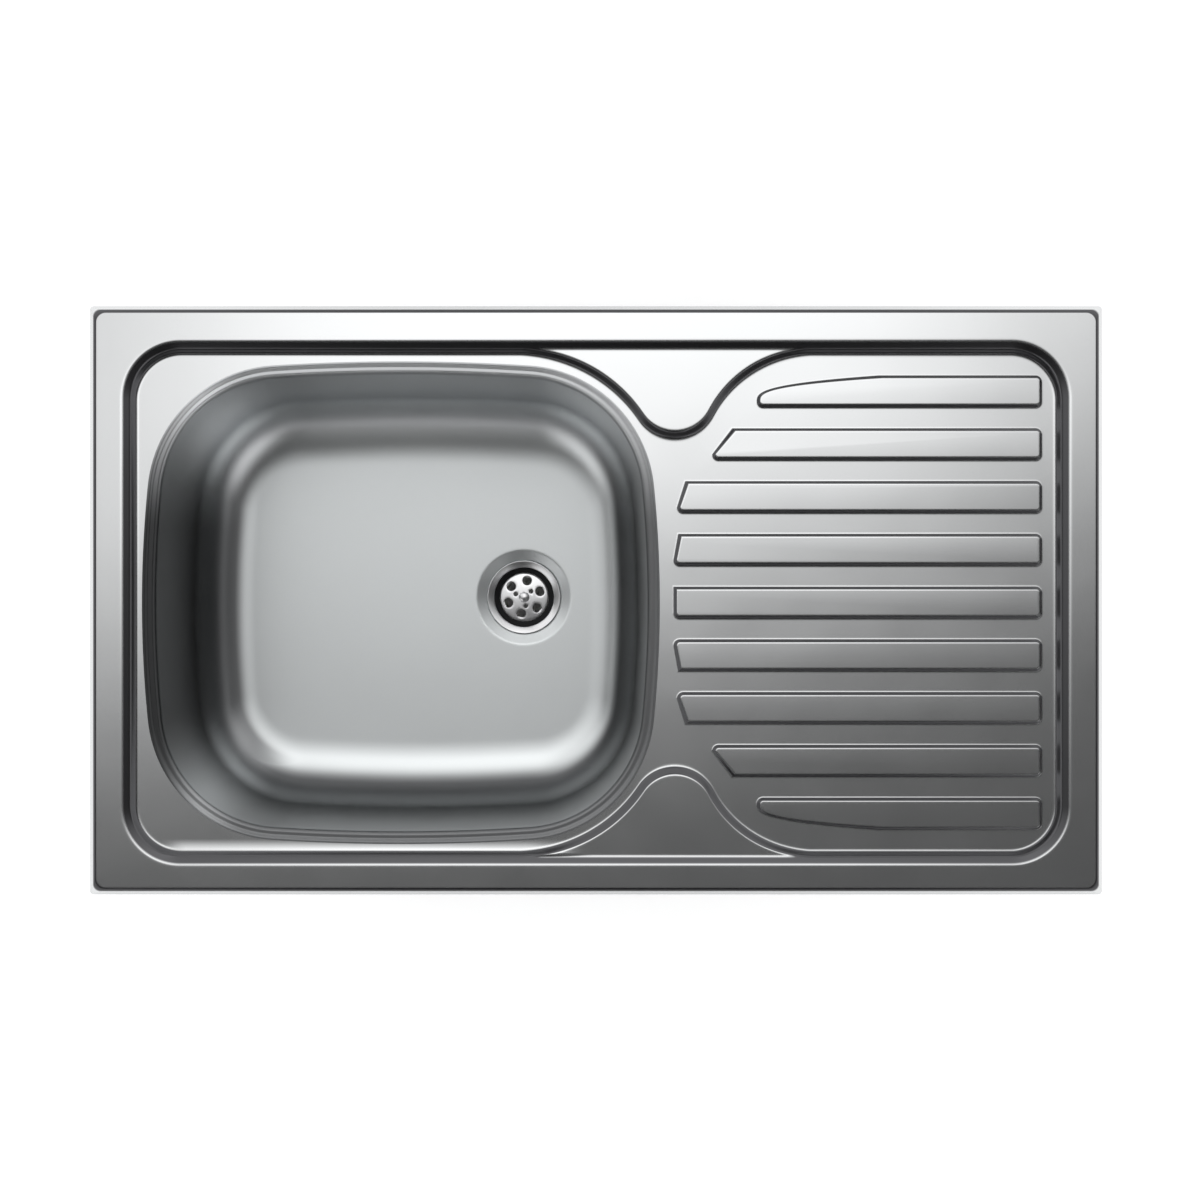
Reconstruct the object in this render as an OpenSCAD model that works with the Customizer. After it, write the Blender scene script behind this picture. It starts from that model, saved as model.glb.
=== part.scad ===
// Inset kitchen sink with one bowl and a ribbed drainer.
// The origin is the centre of the sink on the worktop's surface, +X towards the drainer, +Y towards
// the back and +Z up. All sizes are in millimetres.

/* [Sheet and rim] */
// Length of the sink over its rim
sink_l = 860; // [840:5:960]
// Width of the sink over its rim, front to back
sink_w = 500; // [495:5:560]
// Thickness of the stainless sheet
sheet_t = 0.8; // [0.6:0.1:1.2]
// Height of the flat rim above the worktop
rim_h = 4; // [3.5:0.5:6]
// Width of the rim at the left and right ends, from its outer edge to the sunk area
rim_end = 28; // [26:1:34]
// Width of the rim at the back
rim_back = 30; // [26:1:34]
// Width of the rim at the front
rim_front = 26; // [26:1:34]
// Width of the sloping outer edge
edge_w = 5.5; // [4:0.5:7]
// Gap between the sloping edge and the worktop
edge_gap = 0.3; // [0.2:0.1:0.8]
// Corner radius of the outer edge
corner_r = 3; // [2:0.5:8]
// Corner radius where the flat rim meets the sloping edge
flat_r = 8; // [5:1:14]

/* [Sunk area] */
// Depth of the sunk area below the rim
recess_depth = 8; // [6:0.5:12]
// Corner radius of the sunk area at the rim
recess_r = 49; // [35:1:60]
// Width of the upper, shallow part of its wall
shoulder_w = 6.5; // [4:0.5:8]
// Width of the lower, steep part of its wall
foot_w = 3; // [2:0.5:5]

/* [Tap ledges] */
// Drop from the rim to the tap ledges
ledge_drop = 2.7; // [2:0.1:4]
// Distance from the bowl's edge to a ledge
ledge_gap = 14; // [12:0.5:20]
// Width of a ledge's sloping wall
ledge_wall = 5.5; // [4:0.5:8]
// Radius of a ledge's nose
ledge_nose_r = 32; // [22:1:38]
// Radius of a ledge's drainer side
ledge_flank_r = 98; // [85:1:115]
// Distance from the bowl's right edge to the end of a ledge's drainer side
ledge_end = 130; // [121:1:146]

/* [Ribs] */
// Distance between ribs
rib_pitch = 45; // [42:0.5:46]
// Width of a rib at its foot
rib_w = 27; // [20:1:32]
// Height of a rib
rib_h = 3; // [2:0.5:5]
// Width of a rib's sloping side
rib_side = 2; // [1:0.5:3]
// Corner radius of a rib
rib_r = 5; // [3:0.5:7]
// Flat strip between the ribs' ends and the sunk area's wall
rib_margin = 12.5; // [10:0.5:30]
// Start of each rib from the bowl's right edge, on the side near the middle, from the middle rib outwards
rib_near = [14, 14, 17, 47, 85]; // [6:1:100]
// Start of each rib from the bowl's right edge, on the side away from the middle
rib_far = [14, 18, 24, 64, 189]; // [6:1:200]
// Curve of each rib's slanted start: 1 is straight, 3 is swept
rib_sweep = [1, 1, 1, 1, 3]; // [1:0.5:4]

/* [Bowl] */
// Length of the bowl at its edge
bowl_l = 438; // [420:2:444]
// Width of the bowl at its edge
bowl_w = 408; // [396:2:410]
// Flat strip between the sunk area's wall and the bowl's left edge
bowl_margin = 7; // [5.5:0.5:13]
// Depth from the rim to the bowl's floor
bowl_depth = 160; // [130:5:200]
// Corner radius of the bowl's edge
bowl_r = 112; // [100:2:124]
// Bulge radius of the bowl's left and right sides
bowl_side_r = 1000; // [900:50:2000]
// Bulge radius of the bowl's front and back sides
bowl_end_r = 1700; // [1400:50:3000]
// Depth of the step round the bowl's edge
step_h = 2; // [1:0.5:3]
// Width of the step's slope
step_w = 2; // [1:0.5:3]
// Width of the narrow ledge below the step
step_land = 4; // [3:0.5:6]
// Radius of the turn from the ledge into the wall
lip_r = 2.5; // [2:0.5:4]
// How far the wall leans in from top to bottom
bowl_draft = 5; // [2:0.5:10]
// Length of the flat floor
floor_l = 324; // [290:2:330]
// Width of the flat floor
floor_w = 270; // [240:2:276]
// Corner radius of the flat floor
floor_r = 50; // [40:1:64]
// Height of the turn from the wall into the floor
floor_turn = 50; // [30:1:60]

/* [Waste] */
// Distance from the bowl's centre to the waste
waste_off = 97; // [80:1:105]
// How far the waste lies behind the bowl's centre
waste_back = 5; // [-10:1:15]
// Radius of the dimple in the floor at its top
dimple_r = 45; // [43:0.5:50]
// Radius where the dimple turns into its conical seat
seat_r = 42.5; // [41:0.25:44]
// Depth of the turn from the floor into the seat
turn_h = 1.2; // [0.8:0.1:2]
// Depth of the dimple at the hole
dimple_h = 7; // [5:0.5:9]
// Radius of the hole in the bowl
hole_r = 29.8; // [29.8:0.1:30.4]
// Outer radius of the waste flange
flange_r = 35; // [33:0.5:37]
// Inner radius of the flange's cup
cup_r = 28.6; // [27:0.1:28.6]
// Depth of the flange's cup below the hole in the bowl
cup_h = 7; // [6:0.5:9]
// Wall of the flange's cup
cup_t = 0.8; // [0.6:0.1:1]
// Radius of the strainer
strainer_r = 23; // [22:0.25:24]
// Height of the strainer's edge above the cup's floor
strainer_h = 4; // [3:0.5:5]
// Rise of the strainer's middle above its edge
strainer_dome = 1.6; // [1:0.2:2.4]
// Sheet of the strainer
strainer_t = 1; // [0.8:0.1:1.4]
// Radius of the six large holes
drain_hole_r = 4.5; // [3:0.25:5]
// Radius of the circle that the large holes lie on
drain_ring_r = 16.2; // [15.5:0.1:16.8]
// Radius of the three small holes
small_hole_r = 2.1; // [1:0.1:2.2]
// Radius of the circle that the small holes lie on
small_ring_r = 8.6; // [8.4:0.1:8.8]
// Radius of the strainer screw's shank
centre_screw_r = 3; // [2.5:0.25:3.5]
// Radius of the strainer screw's head
centre_head_r = 5; // [4.6:0.2:5.4]
// Thickness of the gasket under the flange
top_gasket_t = 1; // [0.6:0.2:2]
// Thickness of the gasket under the bowl
low_gasket_t = 2; // [1:0.5:4]
// Outer radius of the waste body's collar
collar_r = 38; // [36:0.5:40]
// Thickness of the waste body's collar
collar_t = 4; // [3:0.5:6]
// Wall of the waste body
body_t = 2.8; // [2:0.2:4]
// Depth of the waste body's cup
body_cup_h = 24; // [20:1:36]
// Height of the cone between the cup and the outlet
body_cone_h = 8; // [5:1:14]
// Radius of the outlet over its thread
outlet_r = 23.9; // [21:0.1:26]
// Length of the outlet
outlet_l = 26; // [20:1:40]
// Depth of the hub below the top of the outlet
hub_drop = 8; // [5:0.5:12]
// Outer radius of the brass insert
insert_r = 5; // [4.5:0.25:6]
// Length of the brass insert
insert_l = 12; // [8:1:16]

/* [Sealing strip and sound pads] */
// Width of the sealing strip
strip_w = 6; // [4:0.5:7]
// Gap between the strip and the sloping edge
strip_gap = 0.2; // [0.1:0.1:0.6]
// Thickness of the sound pads
pad_t = 2.5; // [1.5:0.5:4]
// Length of the pad under the bowl
bowl_pad_l = 210; // [160:5:240]
// Width of the pad under the bowl
bowl_pad_w = 200; // [160:5:220]
// Gap between the bowl's pad and the waste
bowl_pad_gap = 12; // [8:1:20]
// Length of the pad under the drainer
drainer_pad_l = 220; // [160:5:260]
// Width of the pad under the drainer
drainer_pad_w = 300; // [200:5:340]
// Corner radius of the pads
pad_r = 15; // [8:1:25]

/* [Fixing clips] */
// Thinnest worktop that the clips clamp
worktop_min = 28; // [26:1:34]
// Thickest worktop that the clips clamp
worktop_max = 40; // [38:1:44]
// Space left between a lowered claw and the thickest worktop
claw_slack = 3; // [1:0.5:5]
// Distance from the sunk area's edge to a clip's screw
screw_in = 8.5; // [8.5:0.25:9]
// Distance from the sink's left and right ends to the outer clips of a long side
clip_inset = 140; // [120:5:230]
// Strip thickness of a bracket
bracket_t = 1.5; // [1:0.25:2]
// Width of a bracket
bracket_w = 20; // [16:1:24]
// Depth of a bracket's foot below the worktop's surface
bracket_drop = 24; // [22:0.5:24]
// Thickness of the square nut
nut_h = 4; // [3:0.5:5]
// Width of the square nut
nut_w = 8; // [7:0.5:9]
// Radius of a clip screw
clip_screw_r = 2.5; // [2:0.25:2.5]
// Length of screw that stands above the nut at rest
screw_top = 6; // [3:0.5:6]
// Radius of a clip screw's head
clip_head_r = 4.75; // [4.25:0.25:5.5]
// Height of a clip screw's head
clip_head_h = 3.5; // [2.5:0.5:4.5]
// Strip thickness of a claw
claw_t = 2; // [1.5:0.25:3]
// Width of a claw
claw_w = 13; // [11:0.5:14]
// Reach of a claw from its screw
claw_reach = 22; // [18:1:26]
// Height of a claw from its underside to its teeth
claw_h = 13; // [10:1:16]
// Height of a claw's teeth
tooth_h = 2.5; // [1.5:0.5:4]

/* [Fits] */
// Radial clearance of a screw in its nut or insert
thread_gap = 0.05; // [0.02:0.01:0.1]
// Radial clearance of a claw on its screw
claw_gap = 0.1; // [0.05:0.01:0.1]
// Clearance of the loose parts of the waste
loose_gap = 0.3; // [0.2:0.05:0.5]
// Gap between a gasket and the pressed seat
gasket_gap = 0.15; // [0.1:0.05:0.3]
// Gap between a claw and its screw's head
head_gap = 0.1; // [0.05:0.05:0.3]

/* [Hidden] */
clip_names = ["front_left", "front_middle", "front_right", "back_left", "back_middle", "back_right",
              "left_end", "right_end"];
$fn = 48;
eps = 0.01;

steel = [0.80, 0.81, 0.82];
polished = [0.92, 0.92, 0.93];
zinc = [0.72, 0.74, 0.76];
black = [0.09, 0.09, 0.10];
grey = [0.42, 0.43, 0.44];
white = [0.93, 0.93, 0.91];
brass = [0.80, 0.64, 0.32];

// Levels of the pressed sheet's upper side
edge_z = edge_gap + sheet_t;
floor_z = rim_h - recess_depth;
ledge_z = rim_h - ledge_drop;
bowl_z = rim_h - bowl_depth;
form_base = floor_z - 12;

// Half sizes of the sunk area at the rim, at the tap ledges' level and at its floor
recess_hl = sink_l/2 - rim_end;
recess_hw = (sink_w - rim_back - rim_front)/2;
recess_y = (rim_front - rim_back)/2;
wall_w = shoulder_w + foot_w;

// Bowl and waste
bowl_cx = -recess_hl + wall_w + bowl_margin + bowl_l/2;
bowl_end = bowl_cx + bowl_l/2;
waste_x = bowl_cx + waste_off;
waste_y = recess_y + waste_back;
seat_z = bowl_z - dimple_h;
seat_slope = (dimple_h - turn_h)/(seat_r - hole_r);
seat_turn = atan(seat_slope);
cup_z = seat_z - cup_h;
collar_z = seat(hole_r, -sheet_t - low_gasket_t - 2*gasket_gap);
body_r = cup_r + cup_t + loose_gap;
cone_z = collar_z - body_cup_h;
outlet_z = cone_z - body_cone_h;
waste_end = outlet_z - outlet_l;
insert_z = outlet_z - hub_drop;

// Clips, measured from the edge of the sunk area outwards
tab_z = rim_h - sheet_t;
strip_edge = edge_w + strip_gap;
tab_in = 1.5;
tab_out = min(rim_end, rim_back, rim_front) - strip_edge - strip_w - 1;
claw_lift = worktop_max - worktop_min + claw_slack;
claw_z = -worktop_max - claw_slack - claw_h;
claw_pad_r = claw_w/2 + 1.5;

// Outlines and lofts

// Height of the conical seat at radius r, with t more or less of sheet and gasket on it
function seat(r, t = 0) = seat_z + (r - hole_r)*seat_slope + t/cos(seat_turn);

// Points of an arc from angle a to angle b in n steps
function arc(c, r, a, b, n) = [for (i = [0:n]) c + r*[cos(a + (b - a)*i/n), sin(a + (b - a)*i/n)]];

// Centre of the corner that joins the two bulged sides of the bowl's outline
function corner_centre(hl, hw, r) =
    let (a = [hl - bowl_side_r, 0], b = [0, hw - bowl_end_r], d = norm(b - a), u = (b - a)/d,
         p = bowl_side_r - r, q = bowl_end_r - r, x = (p*p - q*q + d*d)/(2*d))
    a + x*u + sqrt(p*p - x*x)*[-u.y, u.x];

// One quarter of the bowl's outline: half a side, a corner, half a side
function quarter(hl, hw, r, m = 4, n = 8) =
    let (a = [hl - bowl_side_r, 0], b = [0, hw - bowl_end_r], c = corner_centre(hl, hw, r),
         ta = atan2(c.y - a.y, c.x - a.x), tb = atan2(c.y - b.y, c.x - b.x))
    concat([for (p = arc(a, bowl_side_r, 0, ta, m)) p],
           [for (i = [1:n]) arc(c, r, ta, tb, n)[i]],
           [for (i = [1:m]) arc(b, bowl_end_r, tb, 90, m)[i]]);

// A whole outline from its quarter, counterclockwise
function whole(q) =
    let (k = len(q) - 1)
    concat(q, [for (i = [k - 1:-1:0]) [-q[i].x, q[i].y]], [for (i = [1:k]) [-q[i].x, -q[i].y]],
           [for (i = [k - 1:-1:1]) [q[i].x, -q[i].y]]);

// Bowl outline drawn in by d on every side, round the bowl's centre
function bowl_outline(d) = whole(quarter(bowl_l/2 - d, bowl_w/2 - d, bowl_r - d));

// Rings of points joined into a closed band, the last ring to the first
module band(rings) {
    m = len(rings);
    n = len(rings[0]);
    polyhedron([for (ring = rings) each ring],
               [for (j = [0:m - 1], i = [0:n - 1])
                   let (k = (j + 1)%m, l = (i + 1)%n)
                   each [[j*n + i, k*n + i, k*n + l], [j*n + i, k*n + l, j*n + l]]]);
}

// Two outlines of the same number of points joined into a solid, the first one below
module loft(low, high, z0, z1) {
    n = len(low);
    polyhedron(concat([for (p = low) [p.x, p.y, z0]], [for (p = high) [p.x, p.y, z1]]),
               concat([[for (i = [0:n - 1]) i]], [[for (i = [n - 1:-1:0]) n + i]],
                      [for (i = [0:n - 1])
                          let (l = (i + 1)%n)
                          each [[i, n + i, n + l], [i, n + l, l]]]));
}

module rounded(l, w, r) {
    square([l - 2*r, w], center = true);
    square([l, w - 2*r], center = true);
    for (x = [-1, 1], y = [-1, 1]) translate([x*(l/2 - r), y*(w/2 - r)]) circle(r);
}

module slab(l, w, r, z) {
    translate([0, 0, z]) linear_extrude(eps) rounded(l, w, r);
}

// Drainer top

// Level of the sunk area's wall, drawn in by d from the rim
module recess_slab(d, z) {
    slab(2*(recess_hl - d), 2*(recess_hw - d), recess_r - d, z);
}

// Outline of the back tap ledge. out is the width of its sloping wall there, which narrows
// towards both tips so that the wall runs into the sunk area's wall.
function ledge_outline(out) =
    let (k = corner_centre(bowl_l/2, bowl_w/2, bowl_r), top = recess_hw - shoulder_w,
         ra = bowl_r + ledge_gap, rc = ledge_flank_r, rn = ledge_nose_r,
         a = [bowl_cx + k.x, top - ra], c = [bowl_end + ledge_end, top - rc],
         d = norm(c - a), u = (c - a)/d, x = ((ra + rn)^2 - (rc + rn)^2 + d*d)/(2*d),
         p = a + x*u + sqrt((ra + rn)^2 - x*x)*[-u.y, u.x],
         a1 = atan2(p.y - a.y, p.x - a.x),
         c0 = atan2(p.y - c.y, p.x - c.x), n = 16,
         narrow = function(s) foot_w*sign(out) + (out - foot_w*sign(out))*(1 - s*s*s))
    concat([for (i = [0:n])
               let (s = i/n, t = 90 + (a1 - 90)*s) a + (ra - narrow(1 - s))*[cos(t), sin(t)]],
           [for (i = [1:n - 1])
               let (t = a1 + 180 + (c0 - a1)*i/n) p + (rn + out)*[cos(t), sin(t)]],
           [for (i = [0:n])
               let (s = i/n, t = c0 + (90 - c0)*s) c + (rc - narrow(s))*[cos(t), sin(t)]],
           [[c.x, recess_hw - foot_w], [a.x, recess_hw - foot_w]]);

module ledge() {
    loft(ledge_outline(ledge_wall), ledge_outline(0), floor_z - 1, ledge_z);
}

// Outline of rib k on the back side, drawn in by d
function rib_outline(k, d) =
    let (y0 = k*rib_pitch - rib_w/2 + d, y1 = k*rib_pitch + rib_w/2 - d, r = rib_r - d,
         x1 = recess_hl - wall_w - rib_margin - d, near = bowl_end + rib_near[k] + d,
         far = bowl_end + rib_far[k] + d, n = 8)
    concat(arc([near + r, y0 + r], r, 180, 270, 4), arc([x1 - r, y0 + r], r, -90, 0, 4),
           arc([x1 - r, y1 - r], r, 0, 90, 4),
           [for (i = [n:-1:1])
               [near + (far - near)*(i/n)^rib_sweep[k], y0 + r + (y1 - y0 - r)*i/n]]);

module rib(k) {
    hull() {
        translate([0, 0, floor_z - eps]) linear_extrude(eps) polygon(rib_outline(k, 0));
        translate([0, 0, floor_z + rib_h - eps]) linear_extrude(eps) polygon(rib_outline(k, rib_side));
    }
}

// Solid below the pressed upper surface
module pressed(grow) {
    difference() {
        union() {
            hull() {
                slab(sink_l - 2*edge_w, sink_w - 2*edge_w, flat_r, rim_h - eps);
                slab(sink_l, sink_w, corner_r, edge_z - eps);
            }
            translate([0, 0, form_base])
                linear_extrude(edge_z - form_base) rounded(sink_l + grow, sink_w + grow, corner_r);
        }
        translate([0, recess_y, 0]) {
            hull() {
                recess_slab(0, rim_h);
                recess_slab(shoulder_w, ledge_z);
            }
            hull() {
                recess_slab(shoulder_w, ledge_z);
                recess_slab(wall_w, floor_z);
            }
        }
    }
    translate([0, recess_y, 0]) {
        for (side = [0, 1]) mirror([0, side, 0]) ledge();
        for (k = [0:len(rib_near) - 1]) {
            rib(k);
            if (k > 0) mirror([0, 1, 0]) rib(k);
        }
    }
}

module drainer_top() {
    color(steel) difference() {
        pressed(0);
        translate([0, 0, -sheet_t]) pressed(2);
        translate([bowl_cx, recess_y, form_base - 1]) linear_extrude(rim_h - form_base + 2) polygon(bowl_outline(0));
    }
}

// Bowl

// Ring of the bowl's wall: drawn in by dl and dw, corner radius r, at height z. The sheet's other side
// lies t off, square to a surface that slopes at angle s.
function wall_ring(dl, dw, r, z, s, t) =
    [for (p = whole(quarter(bowl_l/2 - dl + t*sin(s), bowl_w/2 - dw + t*sin(s), r + t*sin(s))))
        [bowl_cx + p.x, recess_y + p.y, z - t*cos(s)]];

// Ring round the waste whose points face those of the flat floor's outline
function waste_ring(r, z, s, t) =
    [for (p = whole(quarter(floor_l/2, floor_w/2, floor_r)))
        let (a = atan2(p.y - waste_back, p.x - waste_off))
        [waste_x + (r + t*sin(s))*cos(a), waste_y + (r + t*sin(s))*sin(a), z - t*cos(s)]];

function bowl_skin(t) =
    let (d1 = step_w + step_land, z1 = floor_z - step_h, d2 = d1 + lip_r, z2 = z1 - lip_r,
         d3 = d2 + bowl_draft, z3 = bowl_z + floor_turn,
         fl = (bowl_l - floor_l)/2 - d3, fw = (bowl_w - floor_w)/2 - d3, fr = bowl_r - d3 - floor_r)
    concat([wall_ring(0, 0, bowl_r, floor_z, 0, t),
            wall_ring(step_w, step_w, bowl_r - step_w, z1, 20, t),
            wall_ring(d1, d1, bowl_r - d1, z1, 20, t),
            wall_ring(d2, d2, bowl_r - d2, z2, 80, t)],
           [for (a = [0:15:90])
               let (w = 1 - cos(a))
               wall_ring(d3 + fl*w, d3 + fw*w, bowl_r - d3 - fr*w, z3 - floor_turn*sin(a), 90 - a, t)],
           [waste_ring(dimple_r, bowl_z, seat_turn/2, t), waste_ring(seat_r, bowl_z - turn_h, seat_turn, t),
            waste_ring(hole_r, seat_z, 0, t)]);

module bowl() {
    inside = bowl_skin(0);
    outside = bowl_skin(sheet_t);
    n = len(outside);
    color(steel) band(concat(inside, [for (i = [n - 1:-1:0]) outside[i]]));
}

// Sealing strip and sound pads

module sealing_strip() {
    color(black) linear_extrude(rim_h - sheet_t) difference() {
        rounded(sink_l - 2*strip_edge, sink_w - 2*strip_edge, flat_r);
        rounded(sink_l - 2*(strip_edge + strip_w), sink_w - 2*(strip_edge + strip_w), max(flat_r - strip_w, 1));
    }
}

module bowl_sound_pad() {
    color(grey) translate([bowl_cx, recess_y, bowl_z - sheet_t - pad_t]) linear_extrude(pad_t) difference() {
        translate([waste_off - seat_r - bowl_pad_gap - bowl_pad_l/2, 0]) rounded(bowl_pad_l, bowl_pad_w, pad_r);
        translate([waste_off, waste_back]) circle(dimple_r + bowl_pad_gap);
    }
}

module drainer_sound_pad() {
    color(grey) translate([(bowl_end + rib_far[2] + recess_hl)/2, recess_y, floor_z - sheet_t - pad_t])
        linear_extrude(pad_t) rounded(drainer_pad_l, drainer_pad_w, pad_r);
}

// Waste

module at_waste(z) {
    translate([waste_x, waste_y, z]) children();
}

module ring(r0, r1, h) {
    rotate_extrude() translate([r0, 0]) square([r1 - r0, h]);
}

module waste_flange() {
    g = top_gasket_t + 2*gasket_gap;
    lip = cup_r + cup_t;
    color(polished) at_waste(0) rotate_extrude() polygon([
        [flange_r, seat(flange_r, g)], [flange_r - 0.5, seat(flange_r - 0.5, g + cup_t)],
        [cup_r, seat(cup_r, g + cup_t)], [cup_r, cup_z], [cup_r - 9, cup_z], [cup_r - 9, cup_z - cup_t],
        [lip, cup_z - cup_t], [lip, seat(lip, g)]]);
}

// Conical ring on the seat, its underside t off the seat and h thick
module seat_ring(r0, r1, t, h) {
    at_waste(0) rotate_extrude() polygon([
        [r0, seat(r0, t)], [r1, seat(r1, t)], [r1, seat(r1, t + h)], [r0, seat(r0, t + h)]]);
}

module flange_gasket() {
    color(black) seat_ring(hole_r + 0.7, flange_r - 1, gasket_gap, top_gasket_t);
}

module plug_seat_ring() {
    h = strainer_h - 0.5;
    color(black) at_waste(cup_z) rotate_extrude() polygon([
        [strainer_r + loose_gap, 0], [cup_r, 0], [cup_r, h + 1.5], [cup_r - 1, h + 1.5],
        [strainer_r + loose_gap, h]]);
}

module strainer() {
    rise = function(r) strainer_h + strainer_dome*(1 - (r/strainer_r)^2);
    inner = strainer_r - strainer_t;
    color(polished) at_waste(cup_z) difference() {
        rotate_extrude() polygon(concat(
            [for (i = [0:5]) [strainer_r*i/5, rise(strainer_r*i/5)]],
            [[strainer_r, 0], [inner, 0]],
            [for (i = [5:-1:0]) [inner*i/5, rise(inner*i/5) - strainer_t]]));
        for (i = [0:5]) rotate(20 + 60*i) translate([drain_ring_r, 0, -1]) cylinder(20, r = drain_hole_r);
        for (i = [0:2]) rotate(40 + 120*i) translate([small_ring_r, 0, -1]) cylinder(20, r = small_hole_r);
        translate([0, 0, -1]) cylinder(20, r = centre_screw_r + loose_gap);
    }
}

module strainer_screw() {
    top = cup_z + strainer_h + strainer_dome;
    color(polished) {
        at_waste(top + 0.02) rotate_extrude() intersection() {
            translate([0, 2.6 - centre_head_r*1.6]) circle(centre_head_r*1.6);
            square([centre_head_r, 10]);
        }
        at_waste(insert_z + 0.5) cylinder(top - insert_z, r = centre_screw_r);
    }
}

module body_gasket() {
    color(black) seat_ring(hole_r + 0.7, collar_r - 1, -sheet_t - gasket_gap, -low_gasket_t);
}

module waste_body() {
    bore = outlet_r - body_t - 1;
    hub = insert_r + 2;
    rise = (collar_r - hole_r)*seat_slope;
    color(white) at_waste(0) {
        rotate_extrude() polygon([
            [body_r, collar_z], [hole_r, collar_z], [collar_r, collar_z + rise],
            [collar_r, collar_z + rise - collar_t], [body_r + body_t, collar_z - collar_t],
            [body_r + body_t, cone_z], [outlet_r, outlet_z], [outlet_r, waste_end], [bore, waste_end],
            [bore, outlet_z], [body_r, cone_z]]);
        translate([0, 0, insert_z]) ring(insert_r, hub, insert_l);
        for (i = [0:2]) rotate(60 + 120*i)
            translate([hub - 0.5, -1.25, insert_z]) cube([bore - hub + 1, 2.5, hub_drop]);
    }
}

module brass_insert() {
    color(brass) at_waste(insert_z) ring(centre_screw_r + thread_gap, insert_r, insert_l);
}

// Fixing clips, drawn with the rim running along Y and the worktop on the +X side

module at_clip(name) {
    long_side = name == "left_end" || name == "right_end" ? 0 : 1;
    x = name == "front_left" || name == "back_left" ? -1
      : name == "front_right" || name == "back_right" ? 1 : 0;
    front = name == "front_left" || name == "front_middle" || name == "front_right";
    turn = long_side == 0 ? (name == "left_end" ? 180 : 0) : front ? -90 : 90;
    place = long_side == 0 ? [name == "left_end" ? -recess_hl : recess_hl, 0, 0]
          : [x*(sink_l/2 - clip_inset), recess_y + (front ? -recess_hw : recess_hw), 0];
    translate(place) rotate(turn) children();
}

module nut() {
    translate([screw_in, 0, -bracket_drop]) difference() {
        translate([-nut_w/2, -nut_w/2, 0]) cube([nut_w, nut_w, nut_h]);
        translate([0, 0, -1]) cylinder(nut_h + 2, r = clip_screw_r + thread_gap);
    }
}

module clip_nuts() {
    color(zinc) for (name = clip_names) at_clip(name) nut();
}

module bracket(name) {
    foot_out = screw_in + nut_w/2 + 1.5;
    color(zinc) at_clip(name) difference() {
        translate([tab_in, -bracket_w/2, 0]) union() {
            translate([0, 0, tab_z - bracket_t]) cube([tab_out - tab_in, bracket_w, bracket_t]);
            translate([0, 0, -bracket_drop - bracket_t]) cube([bracket_t, bracket_w, tab_z + bracket_drop + bracket_t]);
            translate([0, 0, -bracket_drop - bracket_t]) cube([foot_out - tab_in, bracket_w, bracket_t]);
        }
        translate([screw_in, 0, -bracket_drop - bracket_t - 1]) cylinder(bracket_t + 2, r = clip_screw_r + loose_gap);
    }
}

module clip_screw(name) {
    top = -bracket_drop + nut_h + screw_top;
    color(zinc) at_clip(name) translate([screw_in, 0, 0]) difference() {
        union() {
            translate([0, 0, claw_z - head_gap - 1]) cylinder(top - claw_z + head_gap + 1, r = clip_screw_r);
            translate([0, 0, claw_z - head_gap - clip_head_h]) cylinder(clip_head_h, r = clip_head_r);
        }
        for (a = [0, 90]) rotate(a) translate([-3, -0.6, claw_z - head_gap - clip_head_h - 1]) cube([6, 1.2, 2.8]);
    }
}

module claw(name) {
    teeth = 3;
    color(zinc) at_clip(name) translate([screw_in, 0, claw_z]) difference() {
        union() {
            cylinder(claw_t, r = claw_pad_r);
            translate([-claw_w/2, -claw_reach, 0]) cube([claw_w, claw_reach, claw_t]);
            translate([-claw_w/2, -claw_reach, 0]) cube([claw_w, claw_t, claw_h]);
        }
        translate([0, 0, -1]) cylinder(claw_t + 2, r = clip_screw_r + claw_gap);
        for (i = [0.5:teeth - 0.5]) translate([-claw_w/2 + claw_w*(i + 0.5)/teeth - claw_w/teeth/2, 0, claw_h])
            rotate([90, 0, 0]) translate([0, 0, claw_reach - claw_t - 1])
            linear_extrude(claw_t + 2)
            polygon([[-claw_w/teeth/2 + 0.6, 0.01], [0, -tooth_h], [claw_w/teeth/2 - 0.6, 0.01]]);
    }
}

drainer_top();
bowl();
sealing_strip();
bowl_sound_pad();
drainer_sound_pad();
waste_flange();
flange_gasket();
plug_seat_ring();
strainer();
strainer_screw();
body_gasket();
waste_body();
brass_insert();
clip_nuts();
for (name = clip_names) {
    bracket(name);
    clip_screw(name);
    claw(name);
}
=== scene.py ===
# %% [markdown]
# # A single bowl kitchen sink
#
# An inset stainless-steel sink: one pressed sheet with a flat rim, a sunk area and a ribbed drainer, a
# deep-drawn bowl welded into it, a strainer waste in the bowl's floor, and clips under the rim that clamp
# the sink to the worktop. Everything is in metres, with the worktop's surface at height 0.
#
# A solid model of each piece exists already and is loaded first. It says where each piece is and how it
# moves. This file models what one sees of each piece and lays it over the solid.

import math

import bmesh
import bpy
from mathutils import Matrix, Vector


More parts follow.
